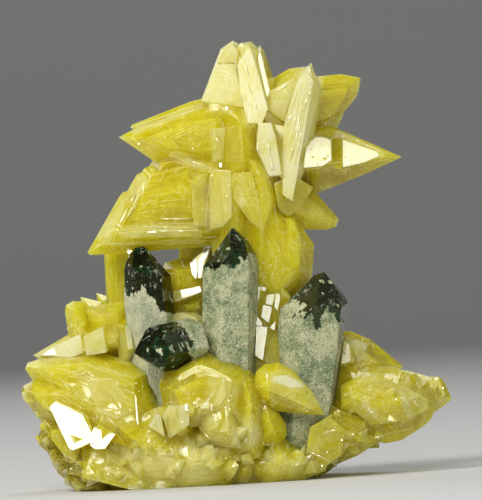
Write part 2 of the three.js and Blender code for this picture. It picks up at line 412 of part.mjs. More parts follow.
// Far side of the specimen
const farSide = [
  { at: [2, 9, 66], axis: [-0.25, 1, 0.5], half: 15, turn: 20 },
  { at: [9, 8, 61], axis: [0.7, 1, 0.15], half: 14, turn: 60 },
  { at: [-5, 8, 59], axis: [-0.8, 1, 0.1], half: 14, turn: 35 },
  { at: [5, 7, 53], axis: [0.3, 1, -0.35], half: 13, turn: 80 },
  { at: [1, 6, 75], axis: [0.25, 0.75, 1], half: 13, turn: 10 },
  { at: [-9, 4, 69], axis: [-1, 0.8, 0.5], half: 12, turn: 50 },
  { at: [14, 6, 73], axis: [0.9, 0.9, 0.7], half: 11, turn: 15 },
  { at: [11, 5, 56], axis: [0.7, 1, -0.2], half: 9, turn: 25 },
  { at: [-12, 5, 54], axis: [-0.7, 1, -0.5], half: 11, turn: 70 },
  { at: [-22, 8, 22], axis: [-0.6, 0.9, 0.7], half: 13, turn: 30 },
  { at: [-8, 12, 22], axis: [-0.2, 1, 0.6], half: 14, turn: 65 },
  { at: [6, 12, 22], axis: [0.3, 1, 0.7], half: 14, turn: 10 },
  { at: [20, 9, 18], axis: [0.7, 1, 0.4], half: 13, turn: 45 },
  { at: [-30, 4, 14], axis: [-1, 0.5, 0.1], half: 11, turn: 75 },
  { at: [-24, 11, 8], axis: [-0.6, 1, 0.05], half: 12, turn: 20 },
  { at: [-6, 14, 9], axis: [0, 1, 0.1], half: 12, turn: 55 },
  { at: [12, 12, 9], axis: [0.4, 1, 0.05], half: 12, turn: 85 },
  { at: [-2, 9, 36], axis: [-0.4, 0.8, 0.9], half: 12, turn: 40 },
  { at: [6, 9, 32], axis: [0.6, 0.9, 0.7], half: 11, turn: 30 },
  { at: [-15, 11, 15], axis: [-0.35, 1, 0.25], half: 13, turn: 5 },
  { at: [-14, 12, 5], axis: [-0.25, 1, -0.05], half: 11, turn: 50 },
  { at: [-31, 7, 7], axis: [-0.8, 0.9, 0.05], half: 9, turn: 60 },
  { at: [3, 12, 14], axis: [0.1, 1, 0.3], half: 13, turn: 35 },
  { at: [3, 13, 4], axis: [0.2, 1, 0], half: 10, turn: 15 },
  { at: [19, 9, 11], axis: [0.55, 1, 0.05], half: 11, turn: 70 },
  { at: [27, 6, 15], axis: [0.9, 0.9, 0.25], half: 10, turn: 25 },
  { at: [-1, 11, 27], axis: [0.05, 0.9, 0.7], half: 11, turn: 80 },
  { at: [-14, 9, 27], axis: [-0.4, 0.9, 0.8], half: 11, turn: 45 },
  { at: [13, 9, 25], axis: [0.5, 0.9, 0.6], half: 11, turn: 60 },
  { at: [-30, 7, 22], axis: [-0.8, 0.8, 0.5], half: 9, turn: 10 },
  { at: [-3, 9, 45], axis: [-0.3, 1, 0.1], half: 10, turn: 30 },
  { at: [5, 9, 42], axis: [0.35, 1, 0.25], half: 11, turn: 65 },
  { at: [-9, 8, 36], axis: [-0.6, 1, 0.5], half: 9, turn: 20 },
];

// Massive sulfur that the crystals grew from
const masses = [
  [[-17, -2, 58], [-15, -3, 66], [-12, -4, 70], [-3, -5, 74], [0, -5, 66], [-2, -5.4, 52], [-10, -3, 52],
    [-14, 3, 68], [-4, 6, 72], [-3, 6, 54]],
  [[-8, -2, 64], [-3, -5.4, 72], [8, -5, 73], [13, -2, 70], [12, -2, 60], [10, -5, 56], [4, -6, 44],
    [-4, -4.4, 46], [-7, -4, 56], [-4, 4, 74], [6, 9, 76], [10, 10, 54], [-3, 9, 52]],
  [[-10, 4, 24], [-9, 4, 48], [4, 0, 50], [9, 1, 46], [9, 3, 24], [-9, 11, 24], [-7, 10, 52], [7, 11, 52],
    [8, 12, 24]],
  [[-34, -6, 4], [-30, -14, 3], [-14, -17, -1], [-14, 14, -1], [-30, 10, 2], [-32, 0, 20], [-24, -8, 25],
    [-14, -4, 25], [-14, 10, 26], [-26, 8, 25]],
  [[-16, -17, -1], [12, -15, -1], [14, 14, -1], [-16, 15, -1], [-14, -10, 22], [8, -8, 24], [8, 10, 29],
    [-12, 12, 29]],
  [[10, -12, 3], [24, -6, 7], [32, -4, 12], [36, 2, 16], [28, 9, 14], [14, 12, 2], [12, -6, 22],
    [28, -2, 24], [24, 7, 25], [12, 10, 27]],
];

// The four quartz crystals
const quartzes = {
  quartz_tall: { foot: [-1.4, -9.6, 13], tip: [-1, -9.6, 53], across: 9.4, turn: -78, ends:
    [1, 1.04, 1.04, 0.97, 0.94, 0.96], sides: [1, 1, 1.04, 1, 1, 1], steep: [[-15, 13, 3]] },
  quartz_left: { foot: [-14.6, -5, 17], tip: [-18.6, -5.6, 48.6], across: 8.4, turn: -82, ends:
    [1, 1.2, 1.2, 1, 1.04, 1.04], sides: [1, 1.02, 1, 1, 1, 1.02], steep: [[-20, 30, 0.6], [35, 28, 1],
    [-160, 12, 2.6]] },
  quartz_right: { foot: [11.7, -5.5, 6], tip: [16.6, -6, 44.6], across: 12, turn: -70, ends:
    [1, 1.05, 1.04, 0.98, 0.96, 0.96], sides: [1, 1, 1.02, 1, 1, 1.02], steep: [[-12, 16, 4]] },
  quartz_small: { foot: [-8, -12, 30], tip: [-19.8, -19.8, 27.4], across: 8.2, turn: 20, ends:
    [1, 1.05, 1, 0.98, 1.04, 1], sides: [1, 1, 1, 1, 1, 1] },
};

let sulfur = lump(masses[0]);
for (const mass of masses.slice(1)) sulfur = sulfur.add(lump(mass));
for (const one of [...crown, ...rightSide, ...leftSide, ...neck, ...leftWing, ...front, ...rightWing]) {
  sulfur = sulfur.add(crystal(one));
}
for (const one of farSide) sulfur = sulfur.add(bipyramid(one));
for (const one of Object.values(quartzes)) sulfur = sulfur.subtract(quartz({ ...one, grow: SOCKET_GAP }));

// What reaches below the trimmed base is cut away
const below = new THREE.BoxGeometry(200, 200, 50).translate(0, 0, -25);
sulfur = sulfur.subtract(solidOf(below));

// Hollows closed in between the crystals are filled: only the outer skin of the cluster is kept
sulfur = sulfur.decompose().reduce((largest, body) => (body.volume() > largest.volume() ? body : largest));

const materialOf = (color, roughness) => new THREE.MeshStandardMaterial({ color, roughness, metalness: 0 });
const sulfurMaterial = materialOf(COLOURS.sulfur, 0.2);
const quartzMaterial = materialOf(COLOURS.quartz, 0.6);

const specimen = new THREE.Group();
specimen.add(meshOf('sulfur_cluster', sulfur, sulfurMaterial));
for (const [name, one] of Object.entries(quartzes)) {
  specimen.add(meshOf(name, quartz(one), quartzMaterial));
}

// The origin is the middle of the underside
const size = new THREE.Box3().setFromObject(specimen);
const centre = size.getCenter(new THREE.Vector3());
for (const mesh of specimen.children) mesh.geometry.translate(-centre.x, -centre.y, 0);

export default specimen;
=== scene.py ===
"""Looks of the sulfur with quartz specimen: growth steps, small crystals, crust, materials and light."""
import math
import random

import bmesh
import bpy
from mathutils import Matrix, Quaternion, Vector, geometry, noise
from mathutils.bvhtree import BVHTree

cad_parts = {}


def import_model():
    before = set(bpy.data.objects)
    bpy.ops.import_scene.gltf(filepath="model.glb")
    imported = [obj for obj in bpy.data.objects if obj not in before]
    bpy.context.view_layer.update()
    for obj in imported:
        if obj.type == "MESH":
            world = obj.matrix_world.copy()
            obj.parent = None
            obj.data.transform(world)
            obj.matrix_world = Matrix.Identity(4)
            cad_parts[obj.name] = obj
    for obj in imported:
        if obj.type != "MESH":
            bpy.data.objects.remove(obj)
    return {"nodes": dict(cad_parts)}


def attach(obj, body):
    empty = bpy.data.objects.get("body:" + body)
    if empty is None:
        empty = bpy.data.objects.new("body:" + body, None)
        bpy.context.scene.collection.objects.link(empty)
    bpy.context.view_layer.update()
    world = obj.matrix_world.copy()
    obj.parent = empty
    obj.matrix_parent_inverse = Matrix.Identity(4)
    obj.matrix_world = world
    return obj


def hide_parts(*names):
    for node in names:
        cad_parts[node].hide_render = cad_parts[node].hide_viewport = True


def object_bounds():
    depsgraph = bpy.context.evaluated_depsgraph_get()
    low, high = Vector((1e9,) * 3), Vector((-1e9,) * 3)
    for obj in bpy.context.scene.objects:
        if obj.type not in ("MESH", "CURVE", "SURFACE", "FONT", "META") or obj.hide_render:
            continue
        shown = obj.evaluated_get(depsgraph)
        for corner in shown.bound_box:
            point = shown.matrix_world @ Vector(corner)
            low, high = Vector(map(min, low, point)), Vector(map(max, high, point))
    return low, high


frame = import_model()
cad_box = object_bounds()

MM = 0.001

# The leaning frame is that of the specimen as photographed, in millimetres: x to the right, y away from the
# viewer, z up. To stand in the row frame, it is turned by LEAN and moved, so that the origin is the middle of
# the underside.
LEAN = math.radians(3.2)
BASE_HEIGHT = 1.75
MIDDLE_X = 1.3485

# The photograph: its size in pixels, the pixel at the leaning frame's origin, and millimetres for a pixel
PICTURE = (482, 500)
ORIGIN_PIXEL = (235, 490)
PIXEL = 0.2
CAMERA_DISTANCE = 1200.0

# Sides of an outline shorter than this, in millimetres, are taken as corners
SHORTEST_SIDE = 0.02

random.seed(7)


def place(x, y, z):
    """A point of the leaning specimen, in millimetres, as it stands in the row frame, in metres."""
    across = x * math.cos(LEAN) + z * math.sin(LEAN) - MIDDLE_X
    up = -x * math.sin(LEAN) + z * math.cos(LEAN) - BASE_HEIGHT * math.cos(LEAN)
    return Vector((across, y, up)) * MM


def in_picture(point):
    """The x and z of a point of the row frame as it leans in the photograph, in millimetres."""
    across = point.x / MM + MIDDLE_X
    up = point.z / MM + BASE_HEIGHT * math.cos(LEAN)
    x = across * math.cos(LEAN) - up * math.sin(LEAN)
    z = across * math.sin(LEAN) + up * math.cos(LEAN)
    return Vector((x, z))


def new_object(name, data):
    made = bpy.data.objects.new(name, data)
    bpy.context.scene.collection.objects.link(made)
    return made


def joined(body, additions, how="UNION"):
    """The mesh of body with the closed solids of additions grown onto it, or cut out of it."""
    for extra in additions:
        tool = new_object("addition", extra)
        cut = body.modifiers.new("join", "BOOLEAN")
        cut.operation = how
        cut.solver = "MANIFOLD"
        cut.object = tool
        bpy.context.view_layer.update()
        result = bpy.data.meshes.new_from_object(body.evaluated_get(bpy.context.evaluated_depsgraph_get()))
        body.modifiers.clear()
        body.data = result
        bpy.data.objects.remove(tool)
    return body


class Facet:
    """One flat face of a crystal, with its own axes: u along its length, v across it, n out of it."""

    def __init__(self, face):
        self.n = face.normal.copy()
        self.centre = face.calc_center_median()
        self.area = face.calc_area() / MM ** 2
        side = self.n.orthogonal().normalized()
        other = self.n.cross(side)
        offsets = [v.co - self.centre for v in face.verts]
        flat = [Vector((offset.dot(side), offset.dot(other))) / MM for offset in offsets]
        angle = -geometry.box_fit_2d(flat)
        self.u = side * math.cos(angle) + other * math.sin(angle)
        self.v = self.n.cross(self.u)
        spread_u = [offset.dot(self.u) for offset in offsets]
        spread_v = [offset.dot(self.v) for offset in offsets]
        if max(spread_u) - min(spread_u) < max(spread_v) - min(spread_v):
            self.u, self.v = self.v, -self.u
        flat = [self.flatten(v.co) for v in face.verts]
        self.rim = [flat[i] for i in geometry.convex_hull_2d(flat)]
        if signed_area(self.rim) < 0:
            self.rim.reverse()
        self.length = max(p.x for p in self.rim) - min(p.x for p in self.rim)
        self.width = max(p.y for p in self.rim) - min(p.y for p in self.rim)

    def flatten(self, point):
        return Vector(((point - self.centre).dot(self.u), (point - self.centre).dot(self.v))) / MM

    def lift(self, flat, height):
        return self.centre + (self.u * flat.x + self.v * flat.y + self.n * height) * MM


def signed_area(rim):
    return sum(a.x * b.y - b.x * a.y for a, b in zip(rim, rim[1:] + rim[:1])) / 2


def clipped(rim, point, inward):
    """The part of a convex outline on the inward side of a line through point."""
    kept = []
    for a, b in zip(rim, rim[1:] + rim[:1]):
        at_a = (a - point).dot(inward)
        at_b = (b - point).dot(inward)
        if at_a >= 0:
            kept.append(a)
        if at_a * at_b < 0:
            kept.append(a.lerp(b, at_a / (at_a - at_b)))
    return kept


def inset(rim, margins):
    """A convex outline with each side moved in by its own margin, in millimetres."""
    shape = list(rim)
    for i, (a, b) in enumerate(zip(rim, rim[1:] + rim[:1])):
        along = b - a
        if along.length < SHORTEST_SIDE:
            continue
        inward = Vector((-along.y, along.x)).normalized()
        shape = clipped(shape, a + inward * margins[i % len(margins)], inward)
        if len(shape) < 3:
            return []
    return shape


def add_hull(bm, points):
    """Adds the convex solid round some points to bm."""
    verts = [bm.verts.new(p) for p in points]
    hull = bmesh.ops.convex_hull(bm, input=verts, use_existing_faces=False)
    spare = {g for g in hull["geom_interior"] + hull["geom_unused"] if isinstance(g, bmesh.types.BMVert)}
    bmesh.ops.delete(bm, geom=list(spare), context="VERTS")


def add_step(bm, facet, rim, bottom, top, slope=0.12):
    """A low plate with sloping sides on a facet. Its foot is sunk, so that it joins what carries it."""
    upper = inset(rim, [slope])
    if len(upper) < 3 or signed_area(upper) < 0.12:
        return False
    add_hull(bm, [facet.lift(p, bottom) for p in rim] + [facet.lift(p, top) for p in upper])
    return True


def finished_mesh(bm, name):
    mesh = bpy.data.meshes.new(name)
    bm.to_mesh(mesh)
    bm.free()
    return mesh


def to_mesh(bm, name):
    bmesh.ops.recalc_face_normals(bm, faces=bm.faces)
    return finished_mesh(bm, name)


def welded(mesh, distance):
    """A mesh of the CAD for editing, with corners joined that are less than distance millimetres apart."""
    bm = bmesh.new()
    bm.from_mesh(mesh)
    bmesh.ops.remove_doubles(bm, verts=bm.verts, dist=distance * MM)
    return bm


def flat_faces(mesh):
    """A copy of a faceted mesh in which each flat face is one polygon."""
    bm = welded(mesh, 0.002)
    bmesh.ops.dissolve_limit(bm, angle_limit=math.radians(0.8), verts=bm.verts, edges=bm.edges)
    bm.faces.ensure_lookup_table()
    bm.normal_update()
    return bm


# What is seen on the sulfur, read from the photograph in millimetres of the leaning frame, as (x, z).
# Blades are flat faces before the rounded crystals: outline, height, paleness, which is below 0 where the
# face is darker: deeper yellow, and painted shade on the band between the right point's panels.
BLADES = [
    # crown: the broad left blade in two steps, the ridged blade and the slim ones beside it
    # Their paleness is cloudy sulfur, and partly a painted reflection of the overhead light.
    ([(-6.6, 77.6), (-5.2, 81.2), (-3.6, 85), (-0.2, 85.2), (0.8, 82), (1.9, 76.4)], 0.25, 0.7),
    ([(-3.6, 85.4), (-2.6, 87.8), (-0.6, 89.6), (0.2, 88), (-0.2, 85.4)], 0.15, 0.65),
    ([(0.5, 84.8), (2.4, 88.2), (3.3, 88), (4.6, 83.6), (6.6, 76), (5.4, 73), (2.6, 73.2),
      (1, 79)], 0.3, 0.95),
    ([(3.4, 87.6), (4.2, 86), (6.6, 77.2), (6.2, 76.4), (4.8, 81.2)], 0.3, 0.7),
    ([(4.4, 85.6), (4.8, 88), (5.4, 86.8), (7, 79.6), (6.4, 78)], 0.35, 0.8),
    # shoulder
    ([(6.4, 79.4), (11.8, 82.2), (12.6, 80.8), (11.2, 76), (10, 73.4), (6.2, 76)], 0.25, 0.5),
    # diagonal blade: its ridged face, and the smooth strip on its right
    ([(12.3, 81.3), (13.2, 82.6), (14.6, 83.4), (15.6, 81.4), (13.5, 70), (11.4, 57.6), (9.5, 58.9),
      (9.3, 66), (9.8, 73)], 0.3, 0.8),
    ([(14.9, 83.2), (17, 80.2), (15.9, 75.4), (14.3, 68.8), (12.1, 61.3), (11.2, 59),
      (12.6, 66)], 0.12, 0.55),
    # short spike, and the yellow between it and the blade
    ([(4.6, 73.2), (7.2, 73.2), (8.2, 70), (9.3, 62.8), (6.8, 62.6), (4.2, 68)], 0.5, 0.85),
    ([(5.2, 71.8), (7, 71.8), (8.5, 64), (6.9, 63.8)], 0.65, 0.95),
    ([(5.4, 75.8), (10.2, 74.4), (10.4, 72.2), (6.2, 73.4)], 0.1, 0.5),
    ([(7.8, 73), (10.4, 72.6), (11, 68.6), (10.6, 62.3), (9, 62.3)], 0.1, 0.35),
    # behind the lower end of the diagonal blade
    ([(7.8, 61.2), (11.4, 63), (15.6, 60.4), (13.4, 57), (10.6, 54.4), (8.6, 56.4)], 0.0, -0.2),
    # right point: the yellow band between its panels, made darker as painted shade, as it shows none of the
    # overhead light
    ([(19.4, 70.2), (21.2, 70.6), (21.2, 64), (19.4, 64.4)], 0.05, -0.3),
    # the columns in the middle, and the darker panel at their left
    ([(-5.2, 62.6), (-3.8, 64), (-0.8, 63.8), (-0.6, 54.6), (-2.4, 52.6), (-5, 52)], 0.2, 0.3),
    ([(-0.4, 63.2), (3.4, 63.6), (4.6, 58), (5.8, 51), (3, 53.6), (-0.4, 58.4)], 0.2, 0.1),
    ([(-8.2, 62.6), (-5.5, 63.4), (-5.5, 52.6), (-8.2, 52.8)], 0.1, -0.1),
    # left spikes of the base
    ([(-39.6, 26.9), (-33.6, 30), (-30.8, 31.2), (-30.3, 27.5), (-32.6, 26.6)], 0.2, 0.75),
    ([(-30.2, 30.8), (-26.3, 32.8), (-25.5, 27.6), (-29.6, 27)], 0.2, 0.6),
    # beside the foot of the right quartz
    ([(14.9, 13), (18.6, 15.2), (21.8, 12.4), (21, 7.4), (17, 4.4), (13.8, 6.6), (14.4, 9.6)], 0.3, -0.15),
    # wedge, fan and prism at the middle of the base
    ([(-17, 13.1), (-15.5, 15.6), (-14.7, 15.6), (-13.8, 11.4)], 0.3, 0.85),
    ([(-14.4, 15.4), (-13, 17.4), (-8.9, 17.5), (-9, 13.7), (-12.8, 10.9)], 0.25, 0.6),
    ([(-7, 16.6), (-2.1, 23.1), (-1.5, 19.4), (-3, 17.4)], 0.3, 0.75),
]
# Plates are low steps on the faces: outline, height, paleness.
PLATES = [
    # left point: blocks side by side
    ([(-4.4, 72), (-1.8, 72.4), (-2.4, 66.2), (-4.4, 65.4)], 0.3, 0.3),
    ([(-1.6, 72.4), (1.2, 72.8), (1.8, 65.6), (-1.8, 65.6)], 0.25, 0.1),
    # left wing: the frames round its inner field
    ([(-26.6, 50.4), (-22.6, 57), (-20.4, 58.4), (-20, 56.6), (-22.8, 52.4)], 0.12, 0.2),
    ([(-24.8, 52.4), (-7, 52.6), (-6.6, 50.6), (-26, 50.4)], 0.12, 0.1),
    ([(-27.6, 48.8), (-26.2, 49.8), (-5.8, 50), (-6, 49.2)], 0.25, 0.1),
    # leaf crystal: pale patch
    ([(7.4, 23), (10, 23.4), (12.6, 22), (13.4, 21), (11, 20.8), (8.6, 21.6)], 0.12, 0.9),
    # big crystal at the left of the base
    ([(-29.4, 22.2), (-24.6, 22.6), (-22, 19.6), (-20.8, 15.8), (-23.4, 14.4), (-27.4, 15.8)], 0.15, 0.4),
    # right mass of the base
    ([(23.4, 22), (28, 23.4), (33.4, 21), (38.2, 18.4), (38.6, 16.4), (33.8, 14), (27, 13.2),
      (23.4, 16.4)], 0.1, -0.15),
    ([(38.8, 22), (41, 21.8), (42.2, 19.2), (39.8, 16.6)], 0.25, 0.25),
    ([(27.4, 29.6), (28.8, 28.8), (32.4, 25), (27.8, 25.4)], 0.2, 0.0),
    ([(23.2, 29.8), (24.4, 30.2), (26.4, 29.2), (26.2, 27), (24.4, 25.4)], 0.3, 0.75),
    # cream mound beside the small quartz
    ([(-13, 35.2), (-10.2, 35.6), (-7.4, 34.4), (-7.2, 33), (-11.4, 32.8), (-13.4, 34)], 0.5, 0.7),
]
# Bright faces, those of a group in one plane. MIRRORS show the key light, and FRONT_MIRROR the front light.
MIRRORS = [
    # the face at the lower left of the base
    [[(-36.8, 16.8), (-35.8, 17.8), (-30.2, 15.4), (-28.4, 12), (-28.4, 10), (-32, 8.4), (-32.8, 8.8)],
     [(-28.6, 9.4), (-28.4, 11.8), (-27.8, 13), (-26.4, 12.4), (-26.2, 10), (-27.4, 8.8)],
     [(-28.4, 9.2), (-26.4, 10.6), (-24.8, 12), (-23.6, 11.6), (-25.6, 8.8), (-27.4, 8.6)]],
    # beside the tall quartz, at its left
    [[(-9, 45.4), (-7.8, 46.2), (-7.4, 44), (-7.8, 42.2), (-8.6, 43.2)],
     [(-7.4, 46), (-4.8, 48.6), (-6.2, 45.6), (-6.8, 42.4), (-7.4, 42.4)]],
    [[(-13.6, 39.4), (-7, 40.8), (-6.6, 39.6), (-8, 39.2), (-11.8, 37.6), (-13.4, 38.2)]],
    # small ones, each in a plane of its own
    [[(-21.8, 48.2), (-21, 48.4), (-20.4, 47.8), (-21.2, 47)]],
    [[(-13, 35), (-12, 35.2), (-12.2, 34.6)]],
    [[(-19.8, 19.2), (-19.6, 19.2), (-19, 13.6), (-19.4, 13.4)]],
    [[(-17.8, 51.6), (-16.2, 51.8), (-15.4, 51.5), (-17, 51.4)],
     [(-15.2, 51.7), (-13.8, 51.9), (-13.2, 51.7)]],
    [[(-3.2, 65.4), (-2.6, 65.4), (-2.6, 64.4), (-3.2, 64.6)]],
    [[(-2, 76.6), (-1.4, 76.6), (-1.4, 75.8), (-2, 75.8)]],
    [[(-9.8, 17.8), (-9.4, 18), (-9.2, 16.4), (-9.8, 16.6)]],
    [[(-38.6, 27), (-36.2, 28.6), (-35.6, 27)]],
    [[(27, 10.4), (27.8, 11), (29.6, 11.2), (29, 10.8)]],
    [[(0.4, 13.4), (1, 13.2), (2.2, 11.6), (1.4, 11.8)]],
    [[(21.6, 29.6), (22.2, 29.8), (22, 28)]],
]
# The two raised panels of the right point's upper face, which show the overhead light
PANELS = [
    [(14, 68.2), (15, 69.8), (16.2, 70.6), (18.2, 70.4), (19.2, 69.8), (19.2, 65.8), (17.4, 64.6),
     (13.6, 64.2)],
    [(21.4, 70.2), (25.8, 68.6), (28.4, 67.6), (29, 66.8), (25.8, 65.4), (21.4, 64.4)],
]
FRONT_MIRROR = [
    [(4.2, 40.8), (5.2, 40.7), (4.8, 38.7), (4.5, 37.3), (4.2, 37.6)],
    [(5.3, 40.7), (6.2, 40.6), (6, 39.7), (5.3, 40.1)],
    [(6.4, 39.1), (7.6, 39.3), (7.9, 39.1), (7.4, 37), (6.1, 37.3)],
    [(8.1, 39.5), (8.9, 39.1), (9, 38.4), (8.5, 35.9), (7.8, 36.7), (7.9, 38.1)],
    [(5.6, 37.1), (7.2, 36.8), (7.3, 36.2), (6.7, 33.5), (5.2, 34.7)],
    [(6.9, 32.6), (8, 33.9), (7.9, 32)],
    [(4.3, 34.9), (5.4, 33.6), (5.3, 32.8), (4.2, 33.1)],
    [(4.2, 32.9), (6.5, 32.7), (5.5, 26.1), (4, 27.1)],
]
# The yellow face that the strips of FRONT_MIRROR lie on, and its upward slope as a share of theirs
BACKING = [(3.7, 41), (8.6, 41.4), (11, 39), (10.6, 30), (9.6, 23.4), (3.8, 23.4)]
BACKING_SLOPE = 0.55
# Where single crystals glitter
SPARKS = [
    (-19.6, 21.6), (-18.2, 21), (-20.2, 19.8), (-19, 20), (-8, 18), (-11.8, 8.8), (-9.4, 9.2),
    (-25.8, 6.8), (-32.6, 4.6), (-19.2, 69.2), (-8.4, 68.2), (-17.4, 68.4), (-15.4, 16), (-7.2, 11.2),
    (-6.2, 14.6), (21.8, 10.8), (21.2, 10.4), (6.2, 16.2), (12.6, 20), (19.4, 17.2), (37, 22.8),
    (41.6, 20.4), (-23.2, 4.8), (-22.4, 3.6), (-25, 3.8), (-4.6, 62.8), (-1.6, 58.8), (18, 73.4),
    (-12.6, 18), (-1.8, 7), (0.2, 5.6), (10, 10.8), (17.2, 5.4), (23.4, 11.4), (32, 18.4),
    (-23.4, 52), (-29.2, 14.8),
]

# Ridges are fine lines on the faces: from, to, width, paleness
RIDGES = [
    # along the diagonal blade
    ((12.6, 80), (10.2, 72.4), 0.35, 0.9),
    ((13.4, 81.2), (10.8, 68), 0.45, 1.0),
    ((14.2, 81.6), (11.4, 66.4), 0.4, 0.9),
    ((14.8, 80.4), (12.2, 70), 0.35, 1.0),
    ((15.2, 81.2), (13.6, 74.4), 0.3, 0.8),
    ((13, 75.6), (10.8, 65), 0.4, 0.7),
    ((14, 76.4), (11.8, 64.4), 0.3, 0.95),
    ((12, 78), (10.4, 73.6), 0.3, 0.3),
    # short spike
    ((4.4, 69.4), (4.8, 66.6), 0.4, 1.0),
    ((6.4, 70.4), (7.6, 63.6), 0.25, 0.8),
    # shoulder
    ((6.6, 75.8), (9.8, 73.6), 0.6, 0.1),
    ((8.2, 81.2), (11.4, 83.4), 0.3, 0.4),
    ((7.4, 79.2), (10.6, 81.2), 0.3, 0.6),
    ((11.2, 80), (10.2, 74.6), 0.3, 0.2),
    # crown
    ((1.6, 86.4), (2.8, 82.4), 0.35, 1.0),
    ((0.2, 84.8), (0.8, 81.2), 0.35, 0.2),
    ((2.6, 81.2), (4.6, 75.6), 0.3, 0.8),
    # right point
    ((13.6, 63.8), (17.4, 64.4), 0.3, 1.0),
    ((19, 65.2), (19.8, 64), 0.3, 1.0),
    ((22.2, 70.8), (31, 67), 0.35, 0.7),
    ((20.2, 63.6), (31.4, 66.4), 0.25, 0.3),
    # left point
    ((-20.6, 72.6), (-7.4, 77.2), 0.3, 0.5),
    ((-19, 70), (-7.8, 64.4), 0.25, 0.3),
    ((-17, 70.4), (-5.8, 64.8), 0.25, 0.4),
    ((-22.6, 70.6), (-16.6, 66.4), 0.3, 0.3),
    ((-10.4, 66.4), (-4.4, 64), 0.5, 0.6),
    ((-4.4, 71.4), (-3, 68.8), 0.6, 0.7),
    # left wing
    ((-23, 53.2), (-19.8, 59.2), 0.5, 0.6),
    ((-24.6, 52.4), (-21, 58.8), 0.4, 0.4),
    ((-21.4, 54.4), (-17.6, 62.4), 0.4, 0.6),
    ((-18.4, 58.8), (-18, 62), 0.35, 0.6),
    ((-20.2, 55.6), (-18.8, 60), 0.3, 0.5),
    ((-8.4, 60.4), (-8.2, 53.6), 0.5, 0.4),
    ((-15, 54.2), (-8.4, 54.2), 0.4, 0.8),
    ((-15.8, 53.4), (-8.2, 53.2), 0.35, 0.5),
    ((-18.6, 52.6), (-8.2, 52.4), 0.3, 0.7),
    ((-17, 51.8), (-7, 51.8), 0.4, 0.8),
    ((-21.8, 50.6), (-6.2, 50.8), 0.6, 0.5),
    ((-23.4, 53.2), (-22.2, 52), 0.6, 0.7),
    ((-15, 57.6), (-9.4, 58.2), 0.3, 0.4),
    ((-15, 61.6), (-13.4, 64.4), 0.3, 0.5),
    # the columns in the middle
    ((-4.8, 61.6), (-5.4, 58), 0.7, 0.5),
    ((-5.4, 57.6), (-5.2, 51.6), 0.4, 0.4),
    ((-2.6, 61.2), (-1.6, 57.2), 0.8, 0.4),
    ((-1, 62.4), (-1.6, 56.4), 0.8, 0.7),
    ((0.4, 60.8), (0, 58.2), 0.6, 0.5),
    ((1.6, 64), (1.6, 58.4), 0.6, 0.35),
    ((-0.6, 57.2), (0.2, 55.6), 0.4, 0.5),
    ((4.2, 60), (5.4, 51.6), 0.4, 0.3),
    ((7, 62), (9, 50), 0.35, 0.3),
    ((13, 50.8), (14.6, 48), 0.35, 0.35),
    ((13.4, 47.6), (14.6, 43.6), 0.3, 0.3),
    ((9.4, 42.8), (9.6, 45.6), 0.3, 0.4),
    # base, left
    ((-35, 22.4), (-27.4, 17.2), 0.25, 0.3),
    ((-32.6, 24), (-23.8, 18.4), 0.25, 0.35),
    ((-35, 19.4), (-29.8, 16.2), 0.25, 0.3),
    ((-27, 25), (-20.2, 22.8), 0.3, 0.5),
    ((-31, 23), (-29.4, 24), 0.3, 0.6),
    ((-29.4, 24), (-27.6, 22.4), 0.3, 0.6),
    ((-23.4, 23.6), (-19.4, 20.4), 0.3, 0.4),
    ((-24.6, 19.6), (-22.6, 16), 0.6, 0.5),
    ((-38.2, 14.4), (-34.6, 10), 0.35, 0.5),
    ((-34.2, 7.6), (-31.4, 6), 0.4, 0.6),
    # base, middle
    ((-2.6, 22.4), (-5.6, 16.4), 0.8, 0.5),
    ((-1.4, 21.2), (-1, 15.2), 0.5, 0.6),
    ((-0.4, 20.8), (0.6, 14), 0.4, 0.5),
    ((-1.8, 17.6), (-1.6, 12.8), 0.4, 0.8),
    ((-4.6, 18), (-4.4, 14), 0.4, 0.6),
    ((-13.2, 15.6), (-13, 10.8), 0.4, 0.1),
    ((-11.4, 17.2), (-11, 11.6), 0.3, 0.2),
    ((-7, 13.2), (-4.6, 10.4), 0.4, 0.6),
    # base, right
    ((25.8, 17.2), (27.6, 15.4), 0.5, 0.7),
    ((18.8, 17.4), (21, 15.8), 0.4, 0.6),
    ((32.2, 19.2), (34.6, 15), 0.6, 0.8),
    ((35.2, 18.6), (36.6, 16.6), 0.5, 0.7),
    ((22.8, 21), (23.6, 17.6), 0.6, 0.5),
    ((29.4, 11.2), (35, 12.4), 0.4, 0.5),
    ((17.4, 11.8), (20.4, 12.6), 0.35, 0.6),
    ((13, 9), (18.4, 6.4), 0.4, 0.6),
    ((39.8, 21.4), (40.4, 17.2), 0.4, 0.5),
    ((6.2, 23.8), (6.4, 22.2), 0.4, 0.9),
]
